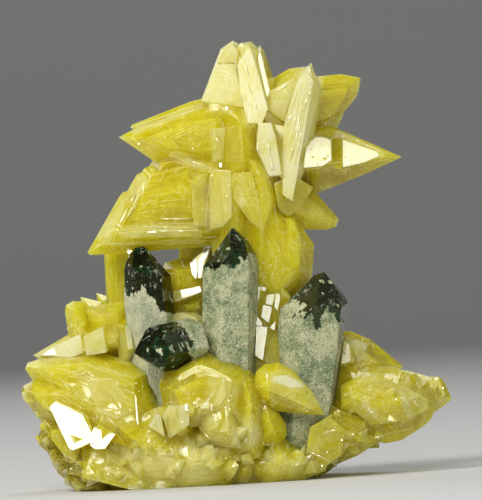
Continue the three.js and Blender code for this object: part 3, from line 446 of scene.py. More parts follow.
# What is darker and more olive, and how much
DEEP = [
    ([(-39.4, 11.6), (-37.8, 12), (-35, 8.4), (-31.8, 6.4), (-30.2, 4.4), (-29.8, 2), (-33, 1.2),
      (-36.6, 4), (-38.2, 7.6)], 0.9),
    ([(-43, 21), (-40.6, 21.6), (-36.6, 19), (-37, 17.6), (-35, 13), (-33, 8.4), (-35, 8.8), (-38, 13.2),
      (-40.2, 17)], 0.5),
    ([(-23, 10.4), (-17, 12), (-15.8, 8), (-21, 5.6), (-23.4, 8)], 0.55),
    ([(0, 5.6), (4.6, 7), (4.2, 1.2), (-2, 1.2)], 0.55),
    ([(-15, 22.8), (-7, 25.2), (-5.8, 20), (-9.8, 18), (-15, 18.4)], 0.45),
    ([(-29.8, 3.2), (-24.6, 1.6), (-27, 0.4), (-31, 0.8)], 0.8),
    ([(15.4, 15), (24.6, 14.4), (25, 10.8), (16.6, 10)], 0.4),
    ([(18.4, 7), (22.4, 8.4), (22.6, 4), (18.6, 3.6)], 0.6),
    ([(24, 10), (29, 10.4), (29, 7.6), (24.2, 7.6)], 0.6),
    ([(20.6, 11.6), (24.4, 12), (24.4, 7.6), (21, 7.6)], 0.3),
    ([(16.6, 82), (24.8, 82.4), (24, 78.4), (19.8, 72.6), (15.4, 73.6)], 0.2),
    # The right point's underside: painted shade.
    ([(13.4, 63.8), (32.4, 66.6), (27.4, 62.6), (13.8, 60)], 0.35),
    ([(4, 86.8), (5.6, 88), (7.4, 82), (6.6, 78.8), (5.4, 81.2)], 0.5),
    ([(2.8, 25.2), (5.4, 21), (5.4, 8), (3.6, 8)], 0.35),
    ([(26.2, 30), (28.6, 29.2), (33, 24.8), (27.4, 25.2)], 0.45),
    ([(5, 19.2), (16.6, 16), (17, 14.8), (7.4, 16)], 0.5),
    ([(34, 24), (42.8, 22.4), (42.8, 17), (36, 12), (32, 15)], 0.4),
    ([(21, 31), (23, 31), (23.4, 22), (20.6, 18)], 0.4),
]
# What is pale, and how much: cloudy sulfur, and on the crown and on the right point's upper face partly a
# painted reflection of the overhead light
PALE = [
    ([(-7, 78), (-5, 86), (-2.6, 90.4), (5.6, 90.4), (7.4, 82), (7.4, 78), (5.4, 72.4), (2.2, 72.4),
      (1, 77.6)], 0.7),
    ([(7, 82), (12, 84.8), (15.4, 85.2), (17, 81.2), (13, 74), (9.8, 73), (6.6, 75.6)], 0.4),
    ([(12.2, 82.4), (14.8, 84.4), (16, 82.4), (17.4, 80.4), (13, 63.6), (11.4, 60), (8, 58.4),
      (9.6, 66)], 0.75),
    ([(4, 73.2), (7.8, 73.2), (9.8, 62.4), (4.2, 62)], 0.6),
    ([(13, 64), (14.2, 71), (19, 72.6), (22, 72), (32.4, 66.6), (13.6, 63.6)], 0.25),
    ([(-40.2, 26.4), (-33, 30.8), (-25.4, 30.8), (-25.4, 26.8)], 0.5),
    ([(-13.8, 35.6), (-7, 35.6), (-6.6, 32.4), (-13.4, 32.4)], 0.5),
]
# Milky streaks and clouds inside the crystals: from, to, how far they reach, strength
VEINS = [
    ((-2.6, 79), (0.4, 88.4), 4.6, 0.8),
    ((3, 88), (4, 74.4), 3.4, 0.85),
    ((9.4, 78), (13, 82.4), 3.0, 0.45),
    ((14.8, 82.6), (11.9, 64.4), 3.4, 0.95),
    ((5.6, 72), (7.8, 63), 2.4, 0.7),
    ((-38, 27), (-27, 29), 2.2, 0.5),
    ((-13, 34), (-7.4, 34.2), 2.2, 0.6),
    ((-28, 21), (-22.4, 16.4), 5.0, 0.35),
    ((-26, 51.2), (-18.6, 61.5), 2.0, 0.5),
    ((-22, 51.6), (-8, 52.4), 1.5, 0.5),
    ((-12.4, 66.8), (-4.4, 63.8), 1.0, 0.5),
    ((-20, 71.6), (-7, 76.8), 0.9, 0.45),
    ((-4.4, 71.4), (-3.2, 65.6), 1.2, 0.35),
    ((-1.8, 62), (-1.6, 56), 1.5, 0.6),
    ((1, 62.6), (1.2, 57), 1.0, 0.4),
    ((-5.2, 61), (-5.4, 52), 0.8, 0.4),
    ((-4, 21.6), (-5, 13), 2.2, 0.45),
    ((-1.2, 21), (-0.6, 13), 1.4, 0.4),
    ((-15.6, 15.4), (-13.4, 11.6), 1.6, 0.5),
    ((-12, 16.6), (-11, 11), 2.2, 0.35),
    ((-27.4, 8), (-24, 4), 1.6, 0.5),
    ((8, 22.6), (12.8, 21.4), 1.3, 0.7),
    ((33, 20), (35, 15), 1.2, 0.5),
    ((25.6, 17.4), (27.8, 15.2), 1.0, 0.5),
    ((23.6, 29.4), (25.6, 26.4), 1.4, 0.6),
    ((-24, 31), (-21.6, 27), 2.4, 0.35),
    ((-24, 6), (-6, 5), 3.8, 0.62),
    ((-8, 8), (2, 12), 3.8, 0.65),
    ((-6, 16), (-1, 20), 2.8, 0.5),
    ((26, 22), (38, 19), 2.4, 0.2),
    ((7, 6), (14, 5), 2.4, 0.25),
]
# The right point's upper face, of which the two panels alone are bright, and the small hollows in them: place
# and width
DULL = [(13, 64), (14.2, 71), (19, 72.6), (22, 72), (32.4, 66.6), (13.6, 63.6)]
PITS = [
    ((15.4, 66.4), 0.5), ((17.8, 66), 0.9), ((16.4, 65), 0.35), ((13.8, 65), 0.5), ((15, 68), 0.3),
    ((18.4, 66.6), 0.4), ((22, 66.4), 0.25), ((24.2, 68), 0.2), ((17.2, 68.8), 0.2),
]
# Where small crystals and broken pieces stand, how many, and how large
CHIPS = [
    ([(-42.2, 21), (-35, 14), (-31.8, 8), (-25, 4), (-23.4, 1.2), (-32.2, 0.8), (-37, 4.4),
      (-39.8, 10)], 70, 2.2),
    ([(-27.8, 8.8), (-17, 10), (1, 12), (4.2, 1.6), (-25, 1.2)], 60, 4.2),
    ([(-15, 17.6), (3, 18.8), (3.4, 10), (-13, 8.8)], 22, 3.6),
    ([(5, 10), (20, 9), (19, 4), (5, 2.4)], 26, 3.2),
    ([(17, 22), (23, 24.8), (36, 23), (38, 17.6), (33, 12), (19, 11.2)], 20, 2.8),
    ([(18.2, 12), (28.6, 12), (28.6, 8), (22.2, 4.4), (18.2, 4)], 16, 2.4),
    ([(-34.2, 38), (-25, 38), (-24.2, 30), (-33, 30.4)], 10, 2.0),
    ([(21, 30.8), (27.4, 29.6), (26.2, 24.8), (21.4, 24.8)], 14, 1.4),
]
# Crystals that close the crack at the back: x and z in the row frame, and size. WALLS is how far beside them
# the surface is met.
BEHIND = [(11.2, 10.8, 3.0), (11.5, 13.2, 3.3), (11.1, 15.8, 3.1), (11.4, 18.6, 3.4)]
WALLS = 2

# The lights that the bright faces mirror, as directions towards them
KEY = Vector((-0.5, -0.52, 0.71)).normalized()
FRONT = Vector((-0.08, -0.86, 0.5)).normalized()
OVERHEAD = Vector((0.3, 0.25, 0.92)).normalized()

# The direction away from the viewer, and how far outside, in millimetres, a look at the surface starts
AWAY = Vector((0, 1, 0))
OUTSIDE = 60

# Samples under an outline: how many rows and columns, and how far they may lie from the usual depth
GRID = 9
NEAR_DEPTH = 2.5

# A plate steeper than STEEPEST is left out. THICKEST is the widest gap behind a plate that it fills.
STEEPEST = 2.5
THICKEST = 5.0

# Plates in millimetres: the width of the bevel, and for each kind how far it rises or how deep it reaches
BEVEL = 0.12
PLATE_DEPTH = 1.2
PANEL_RISE = 0.25
RIDGE_RISE = 0.18
RIDGE_DEPTH = 0.8
MIRROR_RISE = 0.12
PIT_DEPTH = 0.6

# Small crystals: the number of meshes they are shared out among, how far they keep from the bright faces and,
# in front, how far they stand above the floor and how far back they go, in millimetres
SHARD_MESHES = 6
CLEARANCE = 2.8
CHIP_FLOOR = 0.8
CHIP_BACK = 12

# Small crystals of the back: the number of tries, how far from the middle and from the floor they start, and
# the noise below which a place stays bare
BACK_TRIES = 900
BACK_START = 4
BACK_FLOOR = 1.8
BACK_BARE = -0.15

# Faces whose normal has more than this part away from the viewer belong to the back
BACKWARD = 0.3

# Glints: how many on the base, how many on a bright ridge, and from which paleness a ridge is bright
BASE_GLINTS = 70
RIDGE_GLINTS = 3
BRIGHT_RIDGE = 0.6

# Growth steps: the smallest face that has them, in square millimetres, and its smallest width
STEP_AREA = 5.0
STEP_WIDTH = 1.6

# The sulfur: the solid of the cluster, with growth steps, striations and small crystals on its faces

cluster = frame["nodes"]["sulfur_cluster"]
outline = flat_faces(cluster.data)
facets = [Facet(face) for face in outline.faces]
tree = BVHTree.FromBMesh(outline)
outline.free()
surfaces = [tree]
sulfur = new_object("sulfur_crystals", to_mesh(welded(cluster.data, 0.0005), "sulfur_crystals"))


def inside(rim, point):
    odd = False
    for (ax, az), (bx, bz) in zip(rim, rim[1:] + rim[:1]):
        if (az > point[1]) != (bz > point[1]) and point[0] < (bx - ax) * (point[1] - az) / (bz - az) + ax:
            odd = not odd
    return odd


def reach_of(rim):
    """The lowest and highest x, and the lowest and highest z, of an outline."""
    return min(p[0] for p in rim), max(p[0] for p in rim), min(p[1] for p in rim), max(p[1] for p in rim)


def spread_over(rim, count):
    """Points of the leaning frame, in a grid over an outline."""
    low_x, high_x, low_z, high_z = reach_of(rim)
    shares = [(i + 0.5) / count for i in range(count)]
    grid = [(low_x + (high_x - low_x) * a, low_z + (high_z - low_z) * b) for a in shares for b in shares]
    return [p for p in grid if inside(rim, p)]


def depth_at(x, z):
    """How deep the surface lies behind a point of the picture, in millimetres, or None beside it."""
    hits = [surface.ray_cast(place(x, -OUTSIDE, z), AWAY)[0] for surface in surfaces]
    return min([hit.y / MM for hit in hits if hit is not None], default=None)


def samples_of(rim):
    """The surface points behind an outline, without those far from most of them."""
    found = [(x, z, depth_at(x, z)) for x, z in spread_over(rim, GRID)]
    found = sorted([p for p in found if p[2] is not None], key=lambda p: p[2])
    if not found:
        return []
    usual = found[len(found) // 2][2]
    return [p for p in found if abs(p[2] - usual) < NEAR_DEPTH]


def fitted(samples):
    """The plane nearest to surface points, as depth = a + b x + c z, and level across points in a row."""
    middle = sum((Vector(point) for point in samples), Vector((0, 0, 0))) / len(samples)
    rows = Matrix(((len(samples) * 0.05, 0), (0, len(samples) * 0.05)))
    right_side = Vector((0, 0))
    for point in samples:
        offset = Vector(point) - middle
        right_side += offset.xy * offset.z
        rows += Matrix((offset.xy * offset.x, offset.xy * offset.y))
    slope = rows.inverted() @ right_side
    return Vector((middle.z - slope.dot(middle.xy), slope.x, slope.y))


def mirror_slope(light):
    """The slope of a plane that shows the viewer a light, as depth = b x + c z."""
    normal = Matrix.Rotation(-LEAN, 3, "Y") @ (light - AWAY).normalized()
    return Vector((0, -normal.x / normal.y, -normal.z / normal.y))


def before(plane, samples):
    """A plane moved to stand before all of some surface points, and how thick a plate there has to be."""
    gaps = [depth - plane[0] - plane[1] * x - plane[2] * z for x, z, depth in samples]
    return plane + Vector((min(gaps), 0, 0)), min(max(gaps) - min(gaps), THICKEST) + 0.5


def grown():
    """An empty mesh whose faces know how pale and how glassy they are."""
    bm = bmesh.new()
    bm.faces.layers.int.new("known")
    bm.faces.layers.float.new("pale")
    bm.faces.layers.float.new("glassy")
    return bm


def solid_from(bm, points, pale, glassy):
    """Adds the convex solid round some points to bm, and notes how pale and how glassy its faces are."""
    add_hull(bm, points)
    for face in bm.faces:
        if face[bm.faces.layers.int["known"]] == 0:
            face[bm.faces.layers.int["known"]] = 1
            face[bm.faces.layers.float["pale"]] = pale
            face[bm.faces.layers.float["glassy"]] = glassy


def add_plate(bm, rim, plane, rise, thick, pale, glassy=0.0, bevel=BEVEL):
    """A flat plate with bevelled edges before the surface. Its sides run straight away from the viewer."""
    rim = [Vector(p) for p in rim]
    if signed_area(rim) < 0:
        rim.reverse()
    if max(abs(plane[1]), abs(plane[2])) > STEEPEST:
        return

    def at(p, back):
        return place(p.x, plane[0] + plane[1] * p.x + plane[2] * p.y + back, p.y)

    front = inset(rim, [min(bevel, rise)])
    if len(front) < 3:
        front = rim
    points = [at(p, -rise) for p in front] + [at(p, -rise * 0.5) for p in rim] + [at(p, thick) for p in rim]
    solid_from(bm, points, pale, glassy)


def apart(rim, other):
    """Whether some line keeps two convex outlines apart."""
    for shape in (rim, other):
        for a, b in zip(shape, shape[1:] + shape[:1]):
            across = Vector((b[1] - a[1], a[0] - b[0]))
            one = [across.dot(Vector(p)) for p in rim]
            two = [across.dot(Vector(p)) for p in other]
            if min(one) > max(two) or min(two) > max(one):
                return True
    return False


def room_for(groups, rim):
    """The mesh of the first group whose outlines lie apart from this one, as solids of a mesh never cross."""
    for group, rims in groups:
        if all(apart(rim, other) for other in rims):
            rims.append(rim)
            return group
    groups.append((grown(), [rim]))
    return groups[-1][0]


def ridge_rim(start, end, wide):
    """The outline of a slim ridge that tapers to both of its ends."""
    start, end = Vector(start), Vector(end)
    along = end - start
    side = Vector((-along.y, along.x)).normalized() * wide / 2
    return [start, start + along * 0.12 + side, end - along * 0.2 + side, end, end - along * 0.2 - side,
            start + along * 0.12 - side]


# Each list holds groups: a mesh, and the outlines of the solids in it
plates = []
ridges = []
mirrors = []


def add_plates():
    for rim, rise, pale in BLADES:
        under = samples_of(rim)
        plane, thick = before(fitted(under), under)
        add_plate(room_for(plates, rim), rim, plane, rise, thick, pale)
    for rim, rise, pale in PLATES:
        add_plate(room_for(plates, rim), rim, fitted(samples_of(rim)), rise, PLATE_DEPTH, pale)
    for rim in PANELS:
        plane, thick = before(mirror_slope(OVERHEAD), samples_of(rim))
        # The panels' cream is a painted reflection of the overhead light, beside the light that their slope
        # mirrors.
        add_plate(room_for(plates, rim), rim, plane, PANEL_RISE, thick, 0.6, 0.1)


def add_ridges():
    for start, end, wide, pale in RIDGES:
        rim = ridge_rim(start, end, wide * 0.8)
        under = samples_of([tuple(p) for p in ridge_rim(start, end, wide * 3)])
        if len(under) > 3:
            group = room_for(ridges, rim)
            add_plate(group, rim, fitted(under), RIDGE_RISE, RIDGE_DEPTH, pale * 0.6, 0.3, 0.06)


def add_mirrors(rims, light):
    """Adds bright faces that mirror a light, in one plane, and returns the plane and how thick they are."""
    under = [point for rim in rims for point in samples_of(rim)]
    plane, thick = before(mirror_slope(light), under)
    for rim in rims:
        # Bright faces also take some cream: a painted highlight beside the light they mirror.
        add_plate(room_for(mirrors, rim), rim, plane, MIRROR_RISE, thick, 0.5, 1.0, 0.02)
    return plane, thick


def add_backing(plane, thick):
    """Adds the face behind some bright faces: less steep than they are, and just behind all of them."""
    slope = Vector((0, plane[1], plane[2] * BACKING_SLOPE))
    behind = max((plane - slope).dot(Vector((1, x, z))) for x, z in BACKING)
    add_plate(room_for(mirrors, BACKING), BACKING, slope + Vector((behind + 0.1, 0, 0)), 0.0, thick, -0.2)


add_plates()
surfaces += [BVHTree.FromBMesh(group) for group, rims in plates]
add_ridges()
for group in MIRRORS:
    add_mirrors(group, KEY)
add_backing(*add_mirrors(FRONT_MIRROR, FRONT))


def add_shard(bm, at, axis, size, slim, pale):
    """A small double pyramid with blunted tips and a ragged outline, half sunk in what carries it."""
    pose = axis.to_track_quat("Z", "Y") @ Quaternion((0, 0, 1), random.uniform(0, math.pi))
    points = []
    for side_x, side_y in ((1, 0), (0, 1), (-1, 0), (0, -1)):
        waist = Vector((side_x * slim, side_y * slim * 0.8, random.uniform(-0.15, 0.15)))
        shoulder = Vector((side_x * slim * 0.5, side_y * slim * 0.34, random.uniform(0.55, 0.7)))
        points += [waist, shoulder]
    points.append(Vector((random.uniform(-0.1, 0.1), random.uniform(-0.1, 0.1), random.uniform(0.8, 1.0))))
    points.append(Vector((0, 0, -0.7)))
    at = at - axis * 0.1 * size * MM
    solid_from(bm, [at + pose @ p * size * MM for p in points], pale, 0.0)


shards = [grown() for _ in range(SHARD_MESHES)]
placed = [[] for _ in shards]


def plant(at, axis, size, slim, pale):
    """Puts a shard into the first group that has room for it, so that no two of a group overlap."""
    for group, taken in zip(shards, placed):
        if all((at - other).length > (size + reach) * 1.1 * MM for other, reach in taken):
            taken.append((at, size))
            add_shard(group, at, axis, size, slim, pale)
            return


def random_turn(normal, spread):
    turned = normal + Vector([random.uniform(-spread, spread) for _ in range(3)])
    return turned.normalized()


def kept_clear(x, z):
    """Whether a spot of the picture lies on or near a bright face, where no small crystal stands."""
    near = [(x, z), (x - CLEARANCE, z), (x + CLEARANCE, z), (x, z - CLEARANCE), (x, z + CLEARANCE)]
    return any(inside(rim, spot) for group in MIRRORS for rim in group for spot in near)


def sheltered(spot, normal):
    """Whether a spot lies in a hollow: whether the surface rises on at least two of six sides of it."""
    side = normal.orthogonal().normalized()
    outward = [Quaternion(normal, math.pi / 3 * i) @ side + normal * 0.5 for i in range(6)]
    walls = [tree.ray_cast(spot + normal * 0.2 * MM, way, 6 * MM)[0] for way in outward]
    return sum(wall is not None for wall in walls) >= 2


def scatter_chips(rim, count, size):
    """Small crystals at random over an outline of the picture, leaning alike, with three tries for each."""
    low_x, high_x, low_z, high_z = reach_of(rim)
    lean = random_turn(Vector((0, -0.6, 0.5)), 0.5)
    lowest = cad_box[0][2] + (CHIP_FLOOR + 0.5 * size) * MM
    made = 0
    for _ in range(count * 3):
        x, z = random.uniform(low_x, high_x), random.uniform(low_z, high_z)
        if made == count or not inside(rim, (x, z)) or kept_clear(x, z):
            continue
        hit, normal = tree.ray_cast(place(x, -OUTSIDE, z), AWAY)[:2]
        if hit is None or hit.z < lowest or hit.y > CHIP_BACK * MM:
            continue
        axis = random_turn(normal * 0.8 + lean, 0.7)
        pale = random.choice([0.0, 0.0, 0.1, 0.2, 0.4])
        plant(hit, axis, size * random.uniform(0.35, 1.0), random.uniform(0.35, 0.8), pale)
        made += 1


def scatter_behind():
    """Small crystals in the hollows of the back. Each try looks from 0.2 metres away towards the middle."""
    for _ in range(BACK_TRIES):
        angle = random.uniform(0, math.pi)
        start = Vector((math.cos(angle), math.sin(angle), 0)) * 0.2
        start.z = random.uniform(0.002, 0.03)
        hit, normal = tree.ray_cast(start, Vector((-start.x, -start.y, random.uniform(-0.02, 0.02))))[:2]
        if hit is None or hit.y < BACK_START * MM or hit.z < cad_box[0][2] + BACK_FLOOR * MM:
            continue
        if noise.noise(hit / MM * 0.13) > BACK_BARE and sheltered(hit, normal):
            size = random.uniform(0.7, 2.4)
            plant(hit, random_turn(normal, 0.6), size, random.uniform(0.3, 0.6), random.uniform(0, 0.4))


def close_crack():
    """Crystals across the crack at the back. Neighbours overlap, so they go into two meshes in turn."""
    closing = [grown(), grown()]
    for number, (x, z, size) in enumerate(BEHIND):
        walls = [tree.ray_cast(Vector((x + aside, OUTSIDE, z)) * MM, -AWAY)[0].y for aside in (-WALLS, WALLS)]
        spot = Vector((x * MM, min(walls), z * MM))
        add_shard(closing[number % 2], spot, random_turn(AWAY, 0.35), size, random.uniform(0.7, 0.85), 0.1)
    return closing


for rim, count, size in CHIPS:
    scatter_chips(rim, count, size)
scatter_behind()
shards += close_crack()


def add_glint(spot, along, across, lift):
    """A tiny face that mirrors the key light, with its half length along and its half width across."""
    depth = depth_at(*spot)
    if depth is None:
        return
    turns = [(math.cos(a), math.sin(a)) for a in (0.4, 1.7, 3.1, 4.4, 5.5)]
    rim = [tuple(Vector(spot) + along * c + across * s) for c, s in turns]
    plane = before(mirror_slope(KEY), [(*spot, depth - lift)])[0]
    # Glints also take some cream: a painted highlight beside the key light they mirror.
    add_plate(room_for(mirrors, rim), rim, plane, 0.02, 0.9, 0.6, 1.0)


def add_glints():
    for spot in SPARKS:
        half = random.uniform(0.12, 0.28)
        add_glint(spot, Vector((half * 0.8, 0)), Vector((0, half)), 0.35)
    for _ in range(BASE_GLINTS):
        half = random.uniform(0.06, 0.16)
        add_glint((random.uniform(-36, 40), random.uniform(3, 24)), Vector((half, 0)), Vector((0, half)), 0.3)
    for start, end, wide, pale in RIDGES:
        if pale >= BRIGHT_RIDGE:
            add_ridge_glints(Vector(start), Vector(end) - Vector(start))


def add_ridge_glints(start, line):
    """Slim glints along a ridge, at random places."""
    across = Vector((-line.y, line.x)).normalized()
    for _ in range(RIDGE_GLINTS):
        spot = tuple(start + line * random.uniform(0.1, 0.9))
        along = line.normalized() * random.uniform(0.2, 0.7)
        add_glint(spot, along, across * random.uniform(0.07, 0.14), 0.3)


add_glints()
first_steps = bmesh.new()
second_steps = bmesh.new()
laths = bmesh.new()


def add_laths(facet, rim, height):
    """Low strips along a face, cut off at an outline."""
    across = -facet.width / 2 + random.uniform(0.3, 1)
    while across < facet.width / 2:
        wide = random.uniform(0.15, 0.45)
        start = random.uniform(-0.5, 0.1) * facet.length
        end = start + random.uniform(0.2, 0.7) * facet.length
        strip = [Vector((start, across)), Vector((end, across)), Vector((end, across + wide)),
                 Vector((start, across + wide))]
        for a, b in zip(rim, rim[1:] + rim[:1]):
            along = b - a
            if len(strip) >= 3 and along.length > SHORTEST_SIDE:
                strip = clipped(strip, a, Vector((-along.y, along.x)).normalized())
        if len(strip) >= 3 and signed_area(strip) > 0.4:
            add_step(laths, facet, strip, -0.06, height + random.uniform(0.02, 0.07), wide * 0.3)
        across += wide + random.uniform(0.4, 3.0)


def add_growth(facet):
    """One or two growth steps on a face, each smaller than what carries it, and the laths."""
    margins = [random.uniform(0.2, 0.5) + random.choice([0, 0, 0.5]) for _ in facet.rim]
    rim = inset(facet.rim, margins)
    height = random.uniform(0.04, 0.09)
    if len(rim) < 3 or signed_area(rim) < 2:
        return
    if random.random() < 0.75 and add_step(first_steps, facet, rim, -0.05, height):
        inner = inset(rim, [random.uniform(0.25, 0.6) + random.choice([0, 0, 1.2]) for _ in rim])
        if len(inner) >= 3 and signed_area(inner) > 3 and random.random() < 0.6:
            add_step(second_steps, facet, inner, height - 0.03, height + random.uniform(0.05, 0.09))
    add_laths(facet, rim, height)


for facet in facets:
    if facet.area >= STEP_AREA and facet.width >= STEP_WIDTH and facet.n.z >= -0.95:
        add_growth(facet)


class Patch:
    """What the material needs to know of one face: its axes, and how pale, glassy and deep it is."""

    def __init__(self, facet, pale, glassy, deep, number):
        self.facet = facet
        self.pale = pale
        self.glassy = glassy
        self.deep = deep
        self.tone = noise.noise(facet.n * 2.3 + facet.centre / MM * 0.13)
        self.shift = Vector((number * 1.73 % 50, number * 3.1 % 50))


def amount_at(areas, centre):
    """The largest amount of the areas of the picture that a point lies in."""
    seen = in_picture(centre)
    return max([amount for rim, amount in areas if inside(rim, seen)], default=0.0)


def paleness(centre, normal):
    return 0.0 if normal.y > BACKWARD else amount_at(PALE, centre)


def deepness(centre, normal):
    if normal.y > BACKWARD:
        return max(0.0, noise.noise(centre / MM * 0.09) * 1.2)
    return amount_at(DEEP, centre)


def glassiness(centre, normal):
    return -1.5 if normal.y < BACKWARD and inside(DULL, in_picture(centre)) else 0.0


patches = []
for facet in facets:
    at = (facet.centre, facet.n)
    patches.append(Patch(facet, paleness(*at), glassiness(*at), deepness(*at), len(patches)))

features = [group for group, rims in plates + ridges + mirrors] + shards
corners = []
polygons = []
polygon_patches = []
for bm in features:
    bmesh.ops.recalc_face_normals(bm, faces=bm.faces)
    bm.verts.index_update()
    bm.normal_update()
    offset = len(corners)
    corners += [v.co.copy() for v in bm.verts]
    for face in bm.faces:
        facet = Facet(face)
        deep = deepness(facet.centre, facet.n) if bm in shards else 0.0
        pale = face[bm.faces.layers.float["pale"]]
        glassy = face[bm.faces.layers.float["glassy"]]
        polygons.append([offset + v.index for v in face.verts])
        polygon_patches.append(Patch(facet, max(pale, 0.0), glassy, max(deep, -pale), len(polygons)))
feature_tree = BVHTree.FromPolygons(corners, polygons)
joined(sulfur, [to_mesh(bm, "addition") for bm in [first_steps, second_steps, laths] + features])


def cut_pits(body):
    """Cuts the small hollows out of the panels."""
    pits = grown()
    for (x, z), wide in PITS:
        rim = [(x + wide / 2 * math.cos(a), z + wide * 0.4 * math.sin(a)) for a in (0.3, 1.5, 2.9, 4.1, 5.3)]
        under = samples_of([(x - 1, z - 1), (x + 1, z - 1), (x + 1, z + 1), (x - 1, z + 1)])
        add_plate(pits, rim, fitted(under), PIT_DEPTH, 0.3, 0.0)
    joined(body, [to_mesh(pits, "pits")], "DIFFERENCE")


cut_pits(sulfur)


def patch_at(centre, normal):
    """The patch of the feature that a face lies on, or else the patch of the solid's own face."""
    near, feature_normal, index = feature_tree.find_nearest(centre, 0.012 * MM)[:3]
    if near is not None and feature_normal.dot(normal) > 0.95:
        return polygon_patches[index]
    return patches[tree.find_nearest(centre)[2]]


def mark_sulfur(body):
    """Gives every face what its patch says, and axes along and across it for the grain."""
    bm = bmesh.new()
    bm.from_mesh(body.data)
    bmesh.ops.dissolve_limit(bm, angle_limit=math.radians(0.5), verts=bm.verts, edges=bm.edges)
    bmesh.ops.triangulate(bm, faces=[f for f in bm.faces if len(f.verts) > 4])
    bm.normal_update()
    grain = bm.loops.layers.uv.new("grain")
    layers = {name: bm.faces.layers.float.new(name) for name in ("pale", "glassy", "deep", "tone")}
    for face in bm.faces:
        patch = patch_at(face.calc_center_median(), face.normal)
        for name, layer in layers.items():
            face[layer] = getattr(patch, name)
        for loop in face.loops:
            loop[grain].uv = patch.facet.flatten(loop.vert.co) * 0.1 + patch.shift
        face.smooth = False
    body.data = finished_mesh(bm, body.name)


mark_sulfur(sulfur)
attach(sulfur, "root")
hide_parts("sulfur_cluster")


# The quartz: the solid of each crystal, with a grainy crust over all but its glassy upper end

# The longest edge of its mesh, and how far down a push of the tip is felt, in millimetres
GRAIN = 0.34
PUSHED_LENGTH = 6.0
QUARTZ = {
    # name: tip and foot in the leaning frame, how far down from the tip the clear quartz reaches, how ragged
    # its end is, how much higher the crust stands for each millimetre to the right of the axis, how far the
    # tip itself is pushed to the right, and how much of it is broken off
    "quartz_tall": ((-1, -9.6, 53), (-1.4, -9.6, 13), 8.2, 2.4, 0.5, -1.3, 0.0),
    "quartz_left": ((-18.6, -5.6, 48.6), (-14.6, -5, 17), 9.0, 3.2, -1.2, -0.3, 0.0),
    "quartz_right": ((16.6, -6, 44.6), (11.7, -5.5, 6), 8.6, 3.6, -0.5, -1.1, 0.9),
    "quartz_small": ((-19.8, -19.8, 27.4), (-8, -12, 30), 10.6, 3.0, 0.0, 0.0, 0.0),
}


def divide(bm, longest):
    """Divides the faces until no edge is much longer than longest."""
    for _ in range(9):
        long = [e for e in bm.edges if e.calc_length() > longest * MM * 1.35]
        if not long:
            return
        bmesh.ops.subdivide_edges(bm, edges=long, cuts=1)
        bmesh.ops.triangulate(bm, faces=[f for f in bm.faces if len(f.verts) > 3])


def break_tip(bm, depth):
    """Cuts off the highest point of a crystal, depth millimetres below it, and closes the cut."""
    highest = max((v.co for v in bm.verts), key=lambda p: p.z)
    whole = bm.verts[:] + bm.edges[:] + bm.faces[:]
    cut = bmesh.ops.bisect_plane(bm, geom=whole, plane_co=highest - Vector((0, 0, depth * MM)),
                                 plane_no=Vector((-0.2, -0.5, 1)), clear_outer=True)
    rim = [e for e in cut["geom_cut"] if isinstance(e, bmesh.types.BMEdge)]
    bmesh.ops.triangulate(bm, faces=bmesh.ops.holes_fill(bm, edges=rim)["faces"])


def cover_of(p, seed, down, aside, clear, ragged, climb):
    """How much crust a place has, below 0 where the quartz is clear. p, down and aside are in millimetres."""
    edge = noise.fractal(p * 0.32 + seed, 0.8, 2.1, 3) * ragged
    edge += noise.noise(p * 1.6 + seed) * 1.1 + noise.noise(p * 3.6 + seed) * 0.9
    covered = (down - clear + edge + climb * max(aside, 0)) * 1.4
    islands = noise.noise(p * 0.9 + seed * 2) - 0.42
    return max(min(covered, 1.0), min(islands * 6, 1.0) if down > 1.2 else 0.0)


def grain_height(p, seed):
    """How high the grains of the crust stand at a place, in millimetres."""
    grains = abs(noise.noise(p * 2.1 + seed)) * 0.5 + abs(noise.noise(p * 4.3)) * 0.35
    lumps = noise.noise(p * 0.6 + seed) * 0.5 + 0.5
    return 0.07 + 0.24 * grains + 0.05 * lumps


def dress_quartz(name, tip, foot, clear, ragged, climb, push, blunt):
    """One crystal with its grainy crust. Its faces have the crust's material, or the clear quartz's."""
    bm = welded(frame["nodes"][name].data, 0.002)
    bm.normal_update()
    divide(bm, GRAIN)
    bm.normal_update()
    end = place(*tip)
    axis = (place(*foot) - end).normalized()
    for vert in bm.verts:
        down = (vert.co - end).dot(axis) / MM
        vert.co.x += push * max(1 - max(down, 0) / PUSHED_LENGTH, 0) * MM
    if blunt:
        break_tip(bm, blunt)
    bm.normal_update()
    crust = bm.verts.layers.float.new("crust")
    # The eighth letter tells the crystals apart, and gives each its own part of the noise
    seed = Vector((len(name) * 3.1, ord(name[7]) * 0.7, 1.3))
    for vert in bm.verts:
        down = (vert.co - end).dot(axis) / MM
        aside = (vert.co - end - axis * down * MM).x / MM
        vert[crust] = cover_of(vert.co / MM, seed, down, aside, clear, ragged, climb)
    for vert in bm.verts:
        cover = min(max(vert[crust], 0.0), 1.0)
        vert.co += vert.normal * cover * grain_height(vert.co / MM, seed) * MM
    for face in bm.faces:
        cover = sum(v[crust] for v in face.verts) / len(face.verts)
        face.material_index = 0 if cover > 0.25 else 1
        face.smooth = face.material_index == 0
    made = new_object(name + "_crystal", finished_mesh(bm, name + "_crystal"))
    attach(made, "root")
    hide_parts(name)
    return made


crystals = [dress_quartz(name, *values) for name, values in QUARTZ.items()]


# Materials


